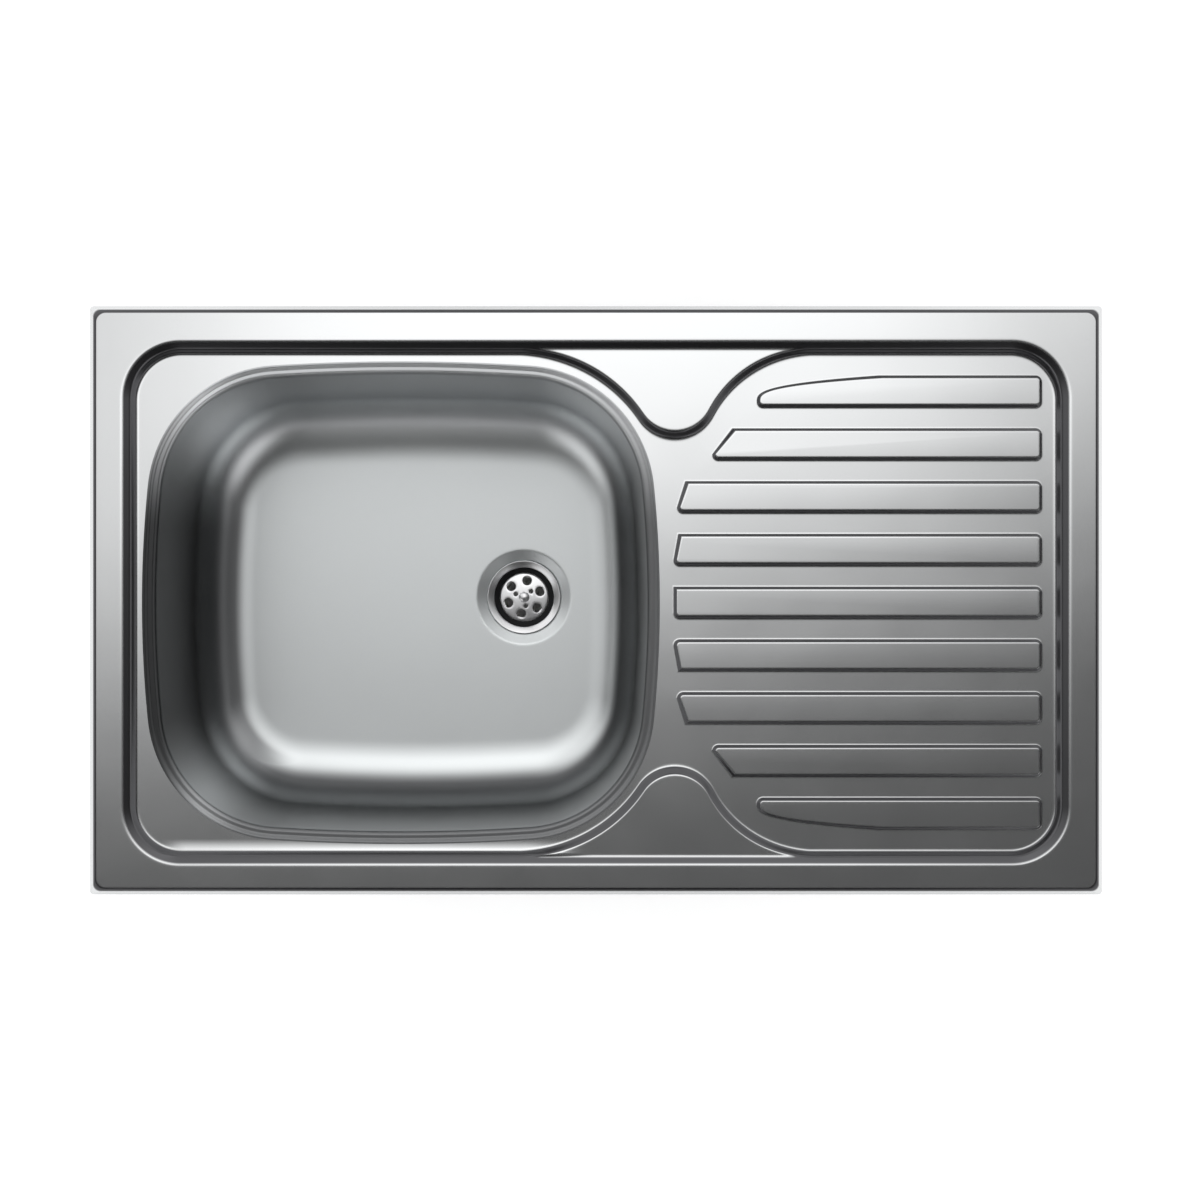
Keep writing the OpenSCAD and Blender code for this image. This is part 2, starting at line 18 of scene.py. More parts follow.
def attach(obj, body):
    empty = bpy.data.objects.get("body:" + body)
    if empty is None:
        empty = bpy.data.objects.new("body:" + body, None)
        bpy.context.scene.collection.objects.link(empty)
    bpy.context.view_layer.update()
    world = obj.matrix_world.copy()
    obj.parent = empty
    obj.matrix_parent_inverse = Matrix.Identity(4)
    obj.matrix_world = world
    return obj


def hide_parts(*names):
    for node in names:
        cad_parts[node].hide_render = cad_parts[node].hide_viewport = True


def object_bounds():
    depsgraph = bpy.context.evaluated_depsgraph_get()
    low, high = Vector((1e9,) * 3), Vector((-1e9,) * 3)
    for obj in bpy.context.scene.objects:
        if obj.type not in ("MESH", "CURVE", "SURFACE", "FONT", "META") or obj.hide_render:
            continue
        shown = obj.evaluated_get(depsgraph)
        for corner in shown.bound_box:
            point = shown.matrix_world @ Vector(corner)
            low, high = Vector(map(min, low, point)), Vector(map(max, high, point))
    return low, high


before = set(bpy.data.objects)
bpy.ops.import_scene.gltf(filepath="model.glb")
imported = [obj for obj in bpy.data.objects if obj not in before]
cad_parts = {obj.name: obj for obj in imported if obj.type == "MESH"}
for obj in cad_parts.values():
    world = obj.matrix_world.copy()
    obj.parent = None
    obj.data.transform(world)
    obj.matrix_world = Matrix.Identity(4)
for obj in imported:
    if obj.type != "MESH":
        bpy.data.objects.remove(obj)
whole_low, whole_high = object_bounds()
MM = 0.001
print("solids loaded:", len(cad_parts))

# %% [markdown]
# ## Small helpers
#
# By hand one clears the selection, adds a primitive, goes into edit mode and pulls it into shape. These
# helpers do the same steps, so that each cell below can stay about the piece it makes.


# %% Helpers: selecting
def clear_selection():
    if bpy.context.object and bpy.context.object.mode != "OBJECT":
        bpy.ops.object.mode_set(mode="OBJECT")
    bpy.ops.object.select_all(action="DESELECT")


def name_it(name):
    bpy.context.object.name = bpy.context.object.data.name = name
    return bpy.context.object


def activate(*objects):
    """Selects these objects and makes the first one active."""
    clear_selection()
    for ob in objects:
        ob.select_set(True)
    bpy.context.view_layer.objects.active = objects[0]


def edit(ob, mode="VERT", action="SELECT"):
    """Goes into edit mode on this piece, with everything selected or nothing."""
    activate(ob)
    bpy.ops.object.mode_set(mode="EDIT")
    bpy.ops.mesh.select_mode(type=mode)
    bpy.ops.mesh.select_all(action=action)
    return bmesh.from_edit_mesh(ob.data)


# %% [markdown]
# ### Sheets made of rings
#
# A pressed sheet could be sculpted, or pushed out of a fine grid. Here one ring of vertices is extruded
# again and again, and each new ring is moved to where the sheet's section is. All rings have the same
# stations, so the faces between them are clean strips that reflect evenly.


# %% Helpers: rings
def move_selected(ob, place):
    """Moves each selected vertex to what place gives for it."""
    bm = bmesh.from_edit_mesh(ob.data)
    for v in bm.verts:
        if v.select:
            v.co = place(v)
    bmesh.update_edit_mesh(ob.data)


def set_ring(ob, points):
    """Puts the selected vertices of a ring at points, in millimetres, in the order of their station."""
    station = bmesh.from_edit_mesh(ob.data).verts.layers.int["station"]
    move_selected(ob, lambda v: Vector(points[v[station]]) * MM)


def start_ring(name, points):
    """A circle with one vertex per point, moved onto the points and left selected in edit mode."""
    clear_selection()
    bpy.ops.mesh.primitive_circle_add(vertices=len(points), radius=0.1)
    ob = name_it(name)
    bpy.ops.object.mode_set(mode="EDIT")
    bpy.ops.mesh.select_mode(type="VERT")
    bpy.ops.mesh.select_all(action="SELECT")
    bm = bmesh.from_edit_mesh(ob.data)
    station = bm.verts.layers.int.new("station")
    bm.verts.ensure_lookup_table()
    for v in bm.verts:
        v[station] = v.index
    set_ring(ob, points)
    return ob


def more_ring(ob, points):
    """A further loose ring in the same mesh, selected on its own."""
    bpy.ops.mesh.select_all(action="DESELECT")
    bpy.ops.mesh.primitive_circle_add(vertices=len(points), radius=0.1)
    bm = bmesh.from_edit_mesh(ob.data)
    station = bm.verts.layers.int["station"]
    bm.verts.ensure_lookup_table()
    for i, v in enumerate([v for v in bm.verts if v.select]):
        v[station] = i
    set_ring(ob, points)


def pull(ob, rings):
    """Extrudes the selected ring once for each of rings, and moves the new ring there."""
    for points in rings:
        bpy.ops.mesh.extrude_edges_indiv()
        set_ring(ob, points)


# %% [markdown]
# ### Closing and finishing
#
# Extruding and spinning leave doubled vertices and faces that point both ways. They are merged and turned
# first, because a wall or a bevel goes the wrong way on faulty normals. Modifiers are applied at once, as
# one does by hand when a shape is settled.


# %% Helpers: closing and modifiers
def close_up(ob, distance=0.02 * MM):
    """Merges doubles and turns the faces outward, then leaves edit mode."""
    bpy.ops.mesh.select_all(action="SELECT")
    bpy.ops.mesh.remove_doubles(threshold=distance)
    bpy.ops.mesh.dissolve_degenerate(threshold=distance / 4)
    bpy.ops.mesh.select_all(action="SELECT")
    bpy.ops.mesh.normals_make_consistent(inside=False)
    bpy.ops.object.mode_set(mode="OBJECT")


def face_up(ob):
    """Turns the faces of an open sheet so that its upper side is the front."""
    if sum(p.normal.z * p.area for p in ob.data.polygons) < 0:
        edit(ob)
        bpy.ops.mesh.flip_normals()
        bpy.ops.object.mode_set(mode="OBJECT")


def apply_modifier(ob, kind, **settings):
    activate(ob)
    bpy.ops.object.modifier_add(type=kind)
    mod = ob.modifiers[-1]
    for key, value in settings.items():
        setattr(mod, key, value)
    bpy.ops.object.modifier_apply(modifier=mod.name)


def smooth(ob, angle=35):
    activate(ob)
    bpy.ops.object.shade_smooth_by_angle(angle=math.radians(angle))


def tell(ob):
    """Prints how many faces a piece has and how large it is."""
    spans = []
    for axis in range(3):
        values = [v.co[axis] / MM for v in ob.data.vertices]
        spans.append(f"{max(values) - min(values):.1f}")
    print(f"{ob.name}: {len(ob.data.polygons)} faces, {' x '.join(spans)} mm")


# %% [markdown]
# ### Soft bends
#
# Sheet metal takes no sharp corner. A bevel would round each fold, but here several folds of different
# softness meet in one section. So a section is a line of corners that are blurred: straight away from a
# corner, and bent near it.


# %% Helpers: bent sections
def bend_line(corners, softness, s):
    """A point at length s along a bent line whose corners are rounded by the given softness, as a sheet
    pressed over a tool rounds them. corners are points with any number of coordinates."""
    out, at, last = list(corners[0]), 0.0, None
    for i in range(len(corners) - 1):
        a, b = corners[i], corners[i + 1]
        run = math.hypot(b[0] - a[0], b[-1] - a[-1])
        if run < 1e-9:
            continue
        way = [(q - p) / run for p, q in zip(a, b)]
        turn = way if last is None else [w - l for w, l in zip(way, last)]
        t = s - at
        if last is not None:
            k = softness[i]
            blur = k / (2 * math.pi) ** 0.5 * math.exp(-t * t / k / k / 2)
            t = t * 0.5 * (1 + math.erf(t / k / 2**0.5)) + blur
        out = [o + w * t for o, w in zip(out, turn)]
        at, last = at + run, way
    return out


def length_of(corners):
    return sum(math.hypot(b[0] - a[0], b[-1] - a[-1]) for a, b in zip(corners, corners[1:]))


# %% [markdown]
# ## The sizes, in millimetres
#
# They are the ones of the solid model, so that each surface made here lies where the real metal is.

# %% Sizes
SHEET = 0.8
RIM_Z, EDGE_Z, LEDGE_Z, FLOOR_Z = 4, 1.1, 1.3, -4
HALF_L, HALF_W, EDGE_W, CORNER_R, FLAT_R = 430, 250, 5.5, 3, 8
RECESS_L, RECESS_W, RECESS_R, RECESS_Y = 402, 222, 49, -2
SHOULDER, FOOT, WALL = 6.5, 3, 9.5
BOWL_X, BOWL_HL, BOWL_HW, BOWL_R, SIDE_R, END_R = -166.5, 219, 204, 112, 1000, 1700
BOWL_END = BOWL_X + BOWL_HL
WASTE = (-69.5, 3)
print(f"sink {2 * HALF_L} x {2 * HALF_W} mm, bowl {2 * BOWL_HL} x {2 * BOWL_HW} mm, sheet {SHEET} mm")


# %% [markdown]
# ### Outlines
#
# The bowl is no plain rounded rectangle. Its sides bulge a little, so each is an arc of a very large circle
# that must run into the corner's arc without a kink, which would show as a line in the steel. The corner's
# centre is therefore worked out and not set by eye.


# %% Outlines
def polar(centre, r, angle):
    """The point at radius r round the centre, at an angle in degrees."""
    t = math.radians(angle)
    return centre[0] + r * math.cos(t), centre[1] + r * math.sin(t)


def arc(cx, cy, r, a, b, n):
    return [polar((cx, cy), r, a + (b - a) * i / n) for i in range(n + 1)]


def corner_centre(hl, hw, r):
    """Centre of the corner that joins two bulged sides."""
    a, b = Vector((hl - SIDE_R, 0)), Vector((0, hw - END_R))
    d = (b - a).length
    u = (b - a) / d
    p, q = SIDE_R - r, END_R - r
    x = (p * p - q * q + d * d) / (2 * d)
    return a + x * u + math.sqrt(p * p - x * x) * Vector((-u.y, u.x))


def bowl_outline(hl, hw, r, m=12, n=28):
    """The bowl's outline, counterclockwise: half a side, a corner, half a side, four times over."""
    c = corner_centre(hl, hw, r)
    ta = math.degrees(math.atan2(c.y, c.x - (hl - SIDE_R)))
    tb = math.degrees(math.atan2(c.y - (hw - END_R), c.x))
    q = arc(hl - SIDE_R, 0, SIDE_R, 0, ta, m) + arc(c.x, c.y, r, ta, tb, n)[1:]
    q += arc(0, hw - END_R, END_R, tb, 90, m)[1:]
    k = len(q) - 1
    return (
        q + [(-q[i][0], q[i][1]) for i in range(k - 1, -1, -1)]
        + [(-q[i][0], -q[i][1]) for i in range(1, k + 1)] + [(q[i][0], -q[i][1]) for i in range(k - 1, 0, -1)]
    )


def bowl_ring(dl, dw, r, z):
    return [(BOWL_X + x, RECESS_Y + y, z) for x, y in bowl_outline(BOWL_HL - dl, BOWL_HW - dw, r)]


print("the bowl's corner turns about", [round(v, 1) for v in corner_centre(BOWL_HL, BOWL_HW, BOWL_R)])


# %% [markdown]
# ## The pressed top
#
# On the real sink this is one sheet of steel. The press folds its outer edge down, sinks the middle by
# eight millimetres, leaves two raised ledges for the tap and raises nine ribs that carry wet dishes. A
# sheet takes every bend with a small soft radius, and those soft bends are what catches the light. So
# the sheet is made of rings: one loop of vertices is pulled inward step by step, each loop following
# the rounded cross-section. Loops lie close together at the bends and far apart on the flats.


# %% Pressed top: tap ledges
def tap_ledge(out):
    """The outline of a tap ledge: an arc from the bowl's corner, a round nose and an arc back to the
    wall. out is the width of the ledge's sloping wall, 0 for its upper edge."""
    k = corner_centre(BOWL_HL, BOWL_HW, BOWL_R)
    top = RECESS_W - SHOULDER
    ra, rc, rn = BOWL_R + 14, 98, 32  # the arc round the bowl's corner, the arc back and the nose
    a, c = Vector((BOWL_X + k.x, top - ra)), Vector((BOWL_END + 130, top - rc))
    d = (c - a).length
    u = (c - a) / d
    x = ((ra + rn) ** 2 - (rc + rn) ** 2 + d * d) / (2 * d)
    p = a + x * u + math.sqrt((ra + rn) ** 2 - x * x) * Vector((-u.y, u.x))
    a1 = math.degrees(math.atan2(p.y - a.y, p.x - a.x))
    c0 = math.degrees(math.atan2(p.y - c.y, p.x - c.x))
    base = FOOT if out > 0 else 0
    steps = [i / 120 for i in range(121)]

    def narrow(s):
        return base + (out - base) * (1 - s**3)

    pts = [polar(a, ra - narrow(1 - s), 90 + (a1 - 90) * s) for s in steps]
    pts += [polar(p, rn + out, a1 + 180 + (c0 - a1) * i / 120) for i in range(1, 120)]
    return pts + [polar(c, rc - narrow(s), c0 + (90 - c0) * s) for s in steps]


def height_at(pts, x):
    """The outline's y at x, or None outside it."""
    for (x0, y0), (x1, y1) in zip(pts, pts[1:]):
        if x0 <= x <= x1:
            return y0 + (y1 - y0) * (x - x0) / max(x1 - x0, 1e-9)
    return None


LEDGE_TOP, LEDGE_FOOT = tap_ledge(0), tap_ledge(5.5)
print(f"tap ledge from x {LEDGE_TOP[0][0]:.1f} to {LEDGE_TOP[-1][0]:.1f} mm")


# %% [markdown]
# ### Stations round the sheet
#
# Every ring of the sheet needs its vertices at matching stations. They stand close together along the tap
# ledges, where the outline curves, and wide apart on the straight runs.


# %% Pressed top: stations
def shares():
    """Places along the long sides, from -1 to 1 of the straight part, close together at the ledges."""
    half = RECESS_L - RECESS_R
    xs = [-half + 14 * i for i in range(int((half - 70) / 14) + 1)]
    x = -72.0
    while x < 191:
        xs.append(x)
        x += 1.6
    xs += [192 + (half - 192) * i / 12 for i in range(13)]
    return [x / half for x in xs]


LONG = shares()
SHORT = [-1 + i / 9 for i in range(19)]
TURN = 22


def frame_loop(hl, hw, r):
    """A rounded rectangle with the same stations whatever its size, counterclockwise from the front left."""
    front = [(f * (hl - r), -hw) for f in LONG]
    right = [(hl, f * (hw - r)) for f in SHORT]
    back = [(f * (hl - r), hw) for f in reversed(LONG)]
    left = [(-hl, f * (hw - r)) for f in reversed(SHORT)]
    out = []
    for side, sx, sy, a in (front, 1, -1, -90), (right, 1, 1, 0), (back, -1, 1, 90), (left, -1, -1, 180):
        out += side + arc(sx * (hl - r), sy * (hw - r), r, a, a + 90, TURN)[1:-1]
    return out


print("stations in each ring:", len(frame_loop(HALF_L, HALF_W, FLAT_R)))


# %% [markdown]
# ### Edge and wall
#
# The outer edge slopes down to the worktop, and the wall of the sunk area goes down in one step, or in two
# where a tap ledge stands. Each is written as a few corners, which is easy to read and change, and turned
# into rings that lie closest at the bends.


# %% Pressed top: edge and wall
def edge_ring(s):
    """A ring at length s along the cross-section of the sink's outer edge."""
    d, z = bend_line([(0, EDGE_Z), (EDGE_W, RIM_Z), (EDGE_W + 9, RIM_Z)], [0, 0.6], s)
    r = CORNER_R + (FLAT_R - CORNER_R) * min(d / EDGE_W, 1)
    return [(x, y, z) for x, y in frame_loop(HALF_L - d, HALF_W - d, r)]


def wall_section(x=None):
    """Section of the sunk area's wall as (distance in from its edge, height), with the ledge found at x."""
    top = height_at(LEDGE_TOP, x) if x is not None else None
    if top is None:
        top, foot = RECESS_W - SHOULDER, RECESS_W - WALL
    else:
        foot = height_at(LEDGE_FOOT, x)
    a, b = RECESS_W - top, RECESS_W - foot
    return [(-4, RIM_Z), (0, RIM_Z), (SHOULDER, LEDGE_Z), (a, LEDGE_Z), (b, FLOOR_Z), (b + 4, FLOOR_Z)]


def wall_places(corners):
    """Lengths along a wall's cross-section at which its rings run: the same number for each section."""
    a, b, c, d, _ = (math.hypot(q[0] - p[0], q[1] - p[1]) for p, q in zip(corners, corners[1:]))
    flat = [0.8, 1.6, 2.4, 3.4]
    out = [0, 1.2, 2.1, 2.8, 3.4]
    out += [a + b * i / 9 for i in range(10)]
    out += [a + b + min(h, c / 2) for h in flat] + [a + b + c - min(h, c / 2) for h in reversed(flat)]
    out += [a + b + c + d * i / 8 for i in range(9)]
    return out + [a + b + c + d + h for h in (0.7, 1.5, 2.4, 3.6)]


def wall_rings():
    """All rings of the sunk area's wall, from the rim to the floor."""
    columns = []
    hl, r = RECESS_L, RECESS_R
    half = hl - r
    for x, y in frame_loop(hl, RECESS_W, r):
        along = abs(abs(y) - RECESS_W) < 1e-6 and abs(x) <= half + 1e-6
        section = wall_section(x if along else None)
        column = []
        for s in wall_places(section):
            d, z = bend_line(section, [0, 1.0, 0.9, 0.9, 1.2], s)
            if along:
                column.append((x, math.copysign(RECESS_W - d, y) + RECESS_Y, z))
            elif abs(abs(x) - hl) < 1e-6:
                column.append((math.copysign(hl - d, x), y + RECESS_Y, z))
            else:
                cx, cy = math.copysign(half, x), math.copysign(RECESS_W - r, y)
                u = Vector((x - cx, y - cy)).normalized()
                column.append((cx + u.x * (r - d), cy + u.y * (r - d) + RECESS_Y, z))
        columns.append(column)
    return [[column[i] for column in columns] for i in range(len(columns[0]))]


print("rings in the wall:", len(wall_places(wall_section())))


# %% [markdown]
# ### Ribs
#
# Nine ribs carry the dishes. They are equally wide and end on one line at the right. Their left ends follow
# a sweep that differs from pair to pair, so one function draws a rib of any pair, and the front ones are
# its mirror images.

# %% Pressed top: ribs
RIB_STEP, RIB_HALF, RIB_END, RIB_H = 45, 13.5, 12.5, 3
RIB_NEAR, RIB_FAR, RIB_SWEEP = [14, 14, 17, 47, 85], [14, 18, 24, 64, 189], [1, 1, 1, 1, 3]


def rib_ring(k, side, s):
    """A ring of rib k on the back (side 1) or the front (side -1), at length s along its cross-section."""
    rib_z = FLOOR_Z + RIB_H
    d, z = bend_line([(-2, FLOOR_Z), (0, FLOOR_Z), (2, rib_z), (4.2, rib_z)], [0, 0.6, 0.6], s)
    y0, y1, r = k * RIB_STEP - RIB_HALF + d, k * RIB_STEP + RIB_HALF - d, max(5 - d, 0.4)
    x1, near, far = RECESS_L - WALL - RIB_END - d, BOWL_END + RIB_NEAR[k] + d, BOWL_END + RIB_FAR[k] + d
    n = 24
    pts = arc(near + r, y0 + r, r, 180, 270, 8) + arc(x1 - r, y0 + r, r, -90, 0, 8)
    pts += arc(x1 - r, y1 - r, r, 0, 90, 8)
    for i in range(n, 0, -1):
        pts.append((near + (far - near) * (i / n) ** RIB_SWEEP[k], y0 + r + (y1 - y0 - r) * i / n))
    return [(x, RECESS_Y + side * y, z) for x, y in pts]


print("ribs start at x", [BOWL_END + near for near in RIB_NEAR], "mm")


# %% [markdown]
# ### Rings, ribs and floor
#
# The sheet is pulled in from its outer edge down to the floor of the sunk area, and each rib is pulled up
# from a loose ring of its own. What is left open is the floor. Its open edges are selected and filled, and
# the fill leaves out the ribs and the bowl's mouth by itself.

# %% Pressed top: rings, ribs and floor
edge_rings = [edge_ring(s) for s in (0, 1.6, 3.2, 4.2, 4.8, 5.3, 5.8, 6.2, 6.7, 7.2, 7.8, 8.6, 10)]
top = start_ring("sink_top", edge_rings[0])
pull(top, edge_rings[1:] + wall_rings())
rib_places = (0, 0.7, 1.2, 1.6, 2.0, 2.4, 2.8, 3.3, 3.8, 4.3, 4.8, 5.2, 5.6, 6.0, 6.5, 7.2)
for k in range(5):
    for side in (1, -1) if k else (1,):
        more_ring(top, rib_ring(k, side, rib_places[0]))
        pull(top, [rib_ring(k, side, s) for s in rib_places[1:]])
        bpy.ops.mesh.edge_face_add()
LAND = 2.0
more_ring(top, bowl_ring(-LAND, -LAND, BOWL_R + LAND, FLOOR_Z))
bpy.ops.mesh.select_all(action="DESELECT")
bpy.ops.mesh.select_mode(type="EDGE")
bm = bmesh.from_edit_mesh(top.data)
for e in bm.edges:
    if len(e.link_faces) < 2 and max(abs(v.co.z - FLOOR_Z * MM) for v in e.verts) < 0.05 * MM:
        e.select = True
bmesh.update_edit_mesh(top.data)
bpy.ops.mesh.fill(use_beauty=True)
bpy.ops.mesh.select_mode(type="VERT")
close_up(top)
face_up(top)
tell(top)


# %% [markdown]
# ### Bends and thickness
#
# The tight bends get painted shade: the finish gives them a darker colour. For that each vertex stores how
# steep the sheet is, for the finish to read. That is done before Solidify gives the sheet its thickness,
# because the new side copies it.


# %% Pressed top: bends and thickness
def store_bends(ob):
    """Stores on each vertex how far it lies in a bend or a steep wall, from 0 on the flats to 1."""
    values = []
    for v in ob.data.vertices:
        if abs(v.co.x) < (HALF_L - EDGE_W - 4) * MM and abs(v.co.y) < (HALF_W - EDGE_W - 4) * MM:
            values.append(min(max((0.985 - abs(v.normal.z)) / 0.05, 0), 1))
        else:
            values.append(1.0 if RIM_Z - 1.1 < v.co.z / MM < RIM_Z - 0.015 else 0.0)
    ob.data.attributes.new("bend", "FLOAT", "POINT").data.foreach_set("value", values)


store_bends(top)
apply_modifier(top, "SOLIDIFY", thickness=SHEET * MM, offset=-1)
smooth(top, 40)
tell(top)

# %% [markdown]
# ## The bowl
#
# The real bowl is drawn from its own sheet and welded into the pressed top, where the seam is ground
# away. Its edge steps down by two millimetres, its wall leans in a little, and a wide curve leads into
# the flat floor, which is dished round the waste. Here too one ring is pulled from level to level. The
# last rings turn from the floor's outline into a circle round the waste.

# %% Bowl
BOWL_Z, HOLE_R = -156, 29.8


def bowl_section():
    """Corners of the bowl's section as (inset in length, inset in width, corner radius, height)."""
    out = [(-4, -4, BOWL_R + 4, FLOOR_Z), (0, 0, BOWL_R, FLOOR_Z), (2, 2, BOWL_R - 2, FLOOR_Z - 2),
           (6, 6, BOWL_R - 6, FLOOR_Z - 2), (8.5, 8.5, BOWL_R - 8.5, FLOOR_Z - 4.5)]
    lean, curve = 13.5, 50
    fl, fw, fr = 43.5, 55.5, BOWL_R - lean - curve
    for a in range(0, 91, 5):
        w, drop = 1 - math.cos(math.radians(a)), curve * math.sin(math.radians(a))
        out.append((lean + fl * w, lean + fw * w, BOWL_R - lean - fr * w, BOWL_Z + curve - drop))
    return out + [(61, 73, 46, BOWL_Z)]


def waste_ring(r, z):
    """A ring round the waste whose vertices face those of the floor's outline."""
    out = []
    for x, y in bowl_outline(BOWL_HL - 57, BOWL_HW - 69, 50):
        a = math.atan2(y - (WASTE[1] - RECESS_Y), x - (WASTE[0] - BOWL_X))
        out.append((WASTE[0] + r * math.cos(a), WASTE[1] + r * math.sin(a), z))
    return out


print(f"the bowl's section is {length_of(bowl_section()):.0f} mm long")


# %% [markdown]
# ### The bowl's rings
#
# The bowl uses the same soft bends. Its rings lie close at the step round its edge, in the wide curve and
# round the waste. Both sides of the sheet are told apart by a stored value, since only the inside is glossy
# and carries the full painted shade.

# %% Bowl: rings
corners = bowl_section()
softness = [0, 0.6, 0.5, 0.6, 1.4] + [1.5] * (len(corners) - 5)
total = length_of(corners)
places = [4 - LAND, 2.6, 3.1, 3.5] + [3.8 + 0.45 * i for i in range(30)]
places += [17.6, 18.6, 20, 23, 30, 45, 60, 80, 95]
start = length_of(corners[:6])
places += [start - 6, start - 3, start - 1.5]
places += [start + (total - 4 - start) * i / 26 for i in range(27)] + [total - 2, total]
bowl_rings = []
for s in places:
    dl, dw, r, z = bend_line(corners, softness, s)
    bowl_rings.append(bowl_ring(dl, dw, r, z))
bowl = start_ring("sink_bowl", bowl_rings[0])
pull(bowl, bowl_rings[1:])
dish = [(52, BOWL_Z), (45, BOWL_Z), (42.5, BOWL_Z - 1.2), (HOLE_R, BOWL_Z - 7)]
places = (1, 4, 5.2, 6.2, 7, 7.7, 8.4, 9.1, 9.8, 10.5, 11.5, 13, 17, length_of(dish))
pull(bowl, [waste_ring(*bend_line(dish, [0, 0.8, 0.8], s)) for s in places])
close_up(bowl)
face_up(bowl)
upper = len(bowl.data.vertices)
apply_modifier(bowl, "SOLIDIFY", thickness=SHEET * MM, offset=-1)
inner = [1.0 if i < upper else 0.0 for i in range(len(bowl.data.vertices))]
bowl.data.attributes.new("inner", "FLOAT", "POINT").data.foreach_set("value", inner)
smooth(bowl, 40)
tell(bowl)

# %% [markdown]
# ## Turned and cut pieces
#
# Round pieces start as a cross-section that is spun once round the axis. Flat pieces start as an outline
# that is filled and pulled to its thickness. Real edges are never sharp, so the corners of every
# cross-section are rounded before it is used.


# %% Helpers: rounded outlines
def round_off(points, radius, n=4, closed=True):
    """The points with each corner replaced by a small arc. radius is one value or one for each corner."""
    out, m = [], len(points)
    for i, p in enumerate(points):
        r = radius[i] if isinstance(radius, (list, tuple)) else radius
        if r <= 0 or (not closed and i in (0, m - 1)):
            out.append(tuple(p))
            continue
        p = Vector(p)
        a, b = Vector(points[i - 1]) - p, Vector(points[(i + 1) % m]) - p
        half = a.angle(b) / 2
        t = min(r / math.tan(half), a.length * 0.48, b.length * 0.48)
        r = t * math.tan(half)
        c = p + (a.normalized() + b.normalized()).normalized() * r / math.sin(half)
        u, v = p + a.normalized() * t - c, p + b.normalized() * t - c
        for k in range(n + 1):
            w = u.slerp(v, k / n).normalized() * r
            out.append(tuple(c + w))
    return out


def loose_chain(name, points, closed=True):
    """A chain of vertices at points, closed or open, left selected in edit mode."""
    ob = start_ring(name, points)
    if not closed:
        bpy.ops.mesh.select_all(action="DESELECT")
        bm = bmesh.from_edit_mesh(ob.data)
        bm.verts.ensure_lookup_table()
        bm.verts[0].select = bm.verts[len(points) - 1].select = True
        bm.select_flush(True)
        bmesh.update_edit_mesh(ob.data)
        bpy.ops.mesh.select_mode(type="EDGE")
        bpy.ops.mesh.delete(type="EDGE")
        bpy.ops.mesh.select_mode(type="VERT")
    bpy.ops.mesh.select_all(action="SELECT")
    return ob


# %% [markdown]
# ### Turning and stamping
#
# A spin makes what a lathe makes. A slab is an outline that is filled and extruded, like a stamping.


# %% Helpers: turning and stamping
def lathe(name, profile, at=(0, 0), steps=96, closed=True):
    """Spins a cross-section of (radius, height) once round the upright axis through at."""
    ob = loose_chain(name, [(r, 0, z) for r, z in profile], closed)
    bpy.ops.mesh.spin(steps=steps, angle=2 * math.pi, center=(0, 0, 0), axis=(0, 0, 1))
    bpy.ops.mesh.select_all(action="SELECT")
    bpy.ops.transform.translate(value=(at[0] * MM, at[1] * MM, 0))
    close_up(ob, 0.004 * MM)
    return ob


def slab(name, outline, z, height, flat="z"):
    """Fills an outline and pulls it to its height. flat says which axis the outline is square to."""
    order = {"x": (2, 0, 1), "y": (0, 2, 1), "z": (0, 1, 2)}[flat]
    ob = loose_chain(name, [[(a, b, z)[k] for k in order] for a, b in outline])
    bpy.ops.mesh.edge_face_add()
    bpy.ops.mesh.extrude_region()
    step = Vector([height * MM if flat == axis else 0 for axis in "xyz"])
    bpy.ops.transform.translate(value=step)
    close_up(ob, 0.004 * MM)
    return ob


# %% [markdown]
# ### Bevels and cuts
#
# Holes and slots could be modelled face by face. Cutting them with a tool is nearer to how they are drilled,
# and the volume before and after each cut is printed. A small bevel then gives the edges their line of light.


# %% Helpers: bevels and cuts
def soften(ob, width, segments=3, angle=40):
    """Rounds the sharp edges with a bevel."""
    apply_modifier(ob, "BEVEL", width=width * MM, segments=segments, limit_method="ANGLE",
                   angle_limit=math.radians(angle))


def volume(ob):
    """The volume of a closed piece, in cubic millimetres."""
    bm = bmesh.new()
    bm.from_mesh(ob.data)
    found = bm.calc_volume(signed=True) * 1e9
    bm.free()
    return found


def cut(ob, tool):
    """Takes the tool's shape away from ob, and removes the tool."""
    before, taken = volume(ob), volume(tool)
    apply_modifier(ob, "BOOLEAN", operation="DIFFERENCE", object=tool, solver="EXACT")
    print(f"{ob.name}: {before:.1f} mm3, tool {taken:.1f}, now {volume(ob):.1f}")
    bpy.data.objects.remove(tool)


def rod(x, y, z0, z1, r, steps=48):
    """A plain round bar to cut a hole with."""
    return lathe("rod", [(0, z0), (r, z0), (r, z1), (0, z1)], (x, y), steps, closed=False)


# %% [markdown]
# ## The waste
#
# The polished flange lies in the dish of the bowl's floor on a thin gasket. Its cup holds the black
# ring that a plug seals on, and the strainer with six large and three small holes. One domed screw goes
# down through the strainer into a brass insert and draws the white plastic body up against the bowl
# from below. The body's outlet has the thread that a trap is screwed to. These could be stacked from
# cylinders and cones, but a cross-section that is spun has the rounded corners of the real ones too.

# %% Waste: flange, gaskets and plug seat
CUP_Z, SLOPE = -170, 5.8 / 12.7
TILT = math.cos(math.atan(SLOPE))


def seat(r, t=0.0):
    """Height of the dished seat at radius r, with t of sheet or gasket on it."""
    return -163 + (r - HOLE_R) * SLOPE + t / TILT


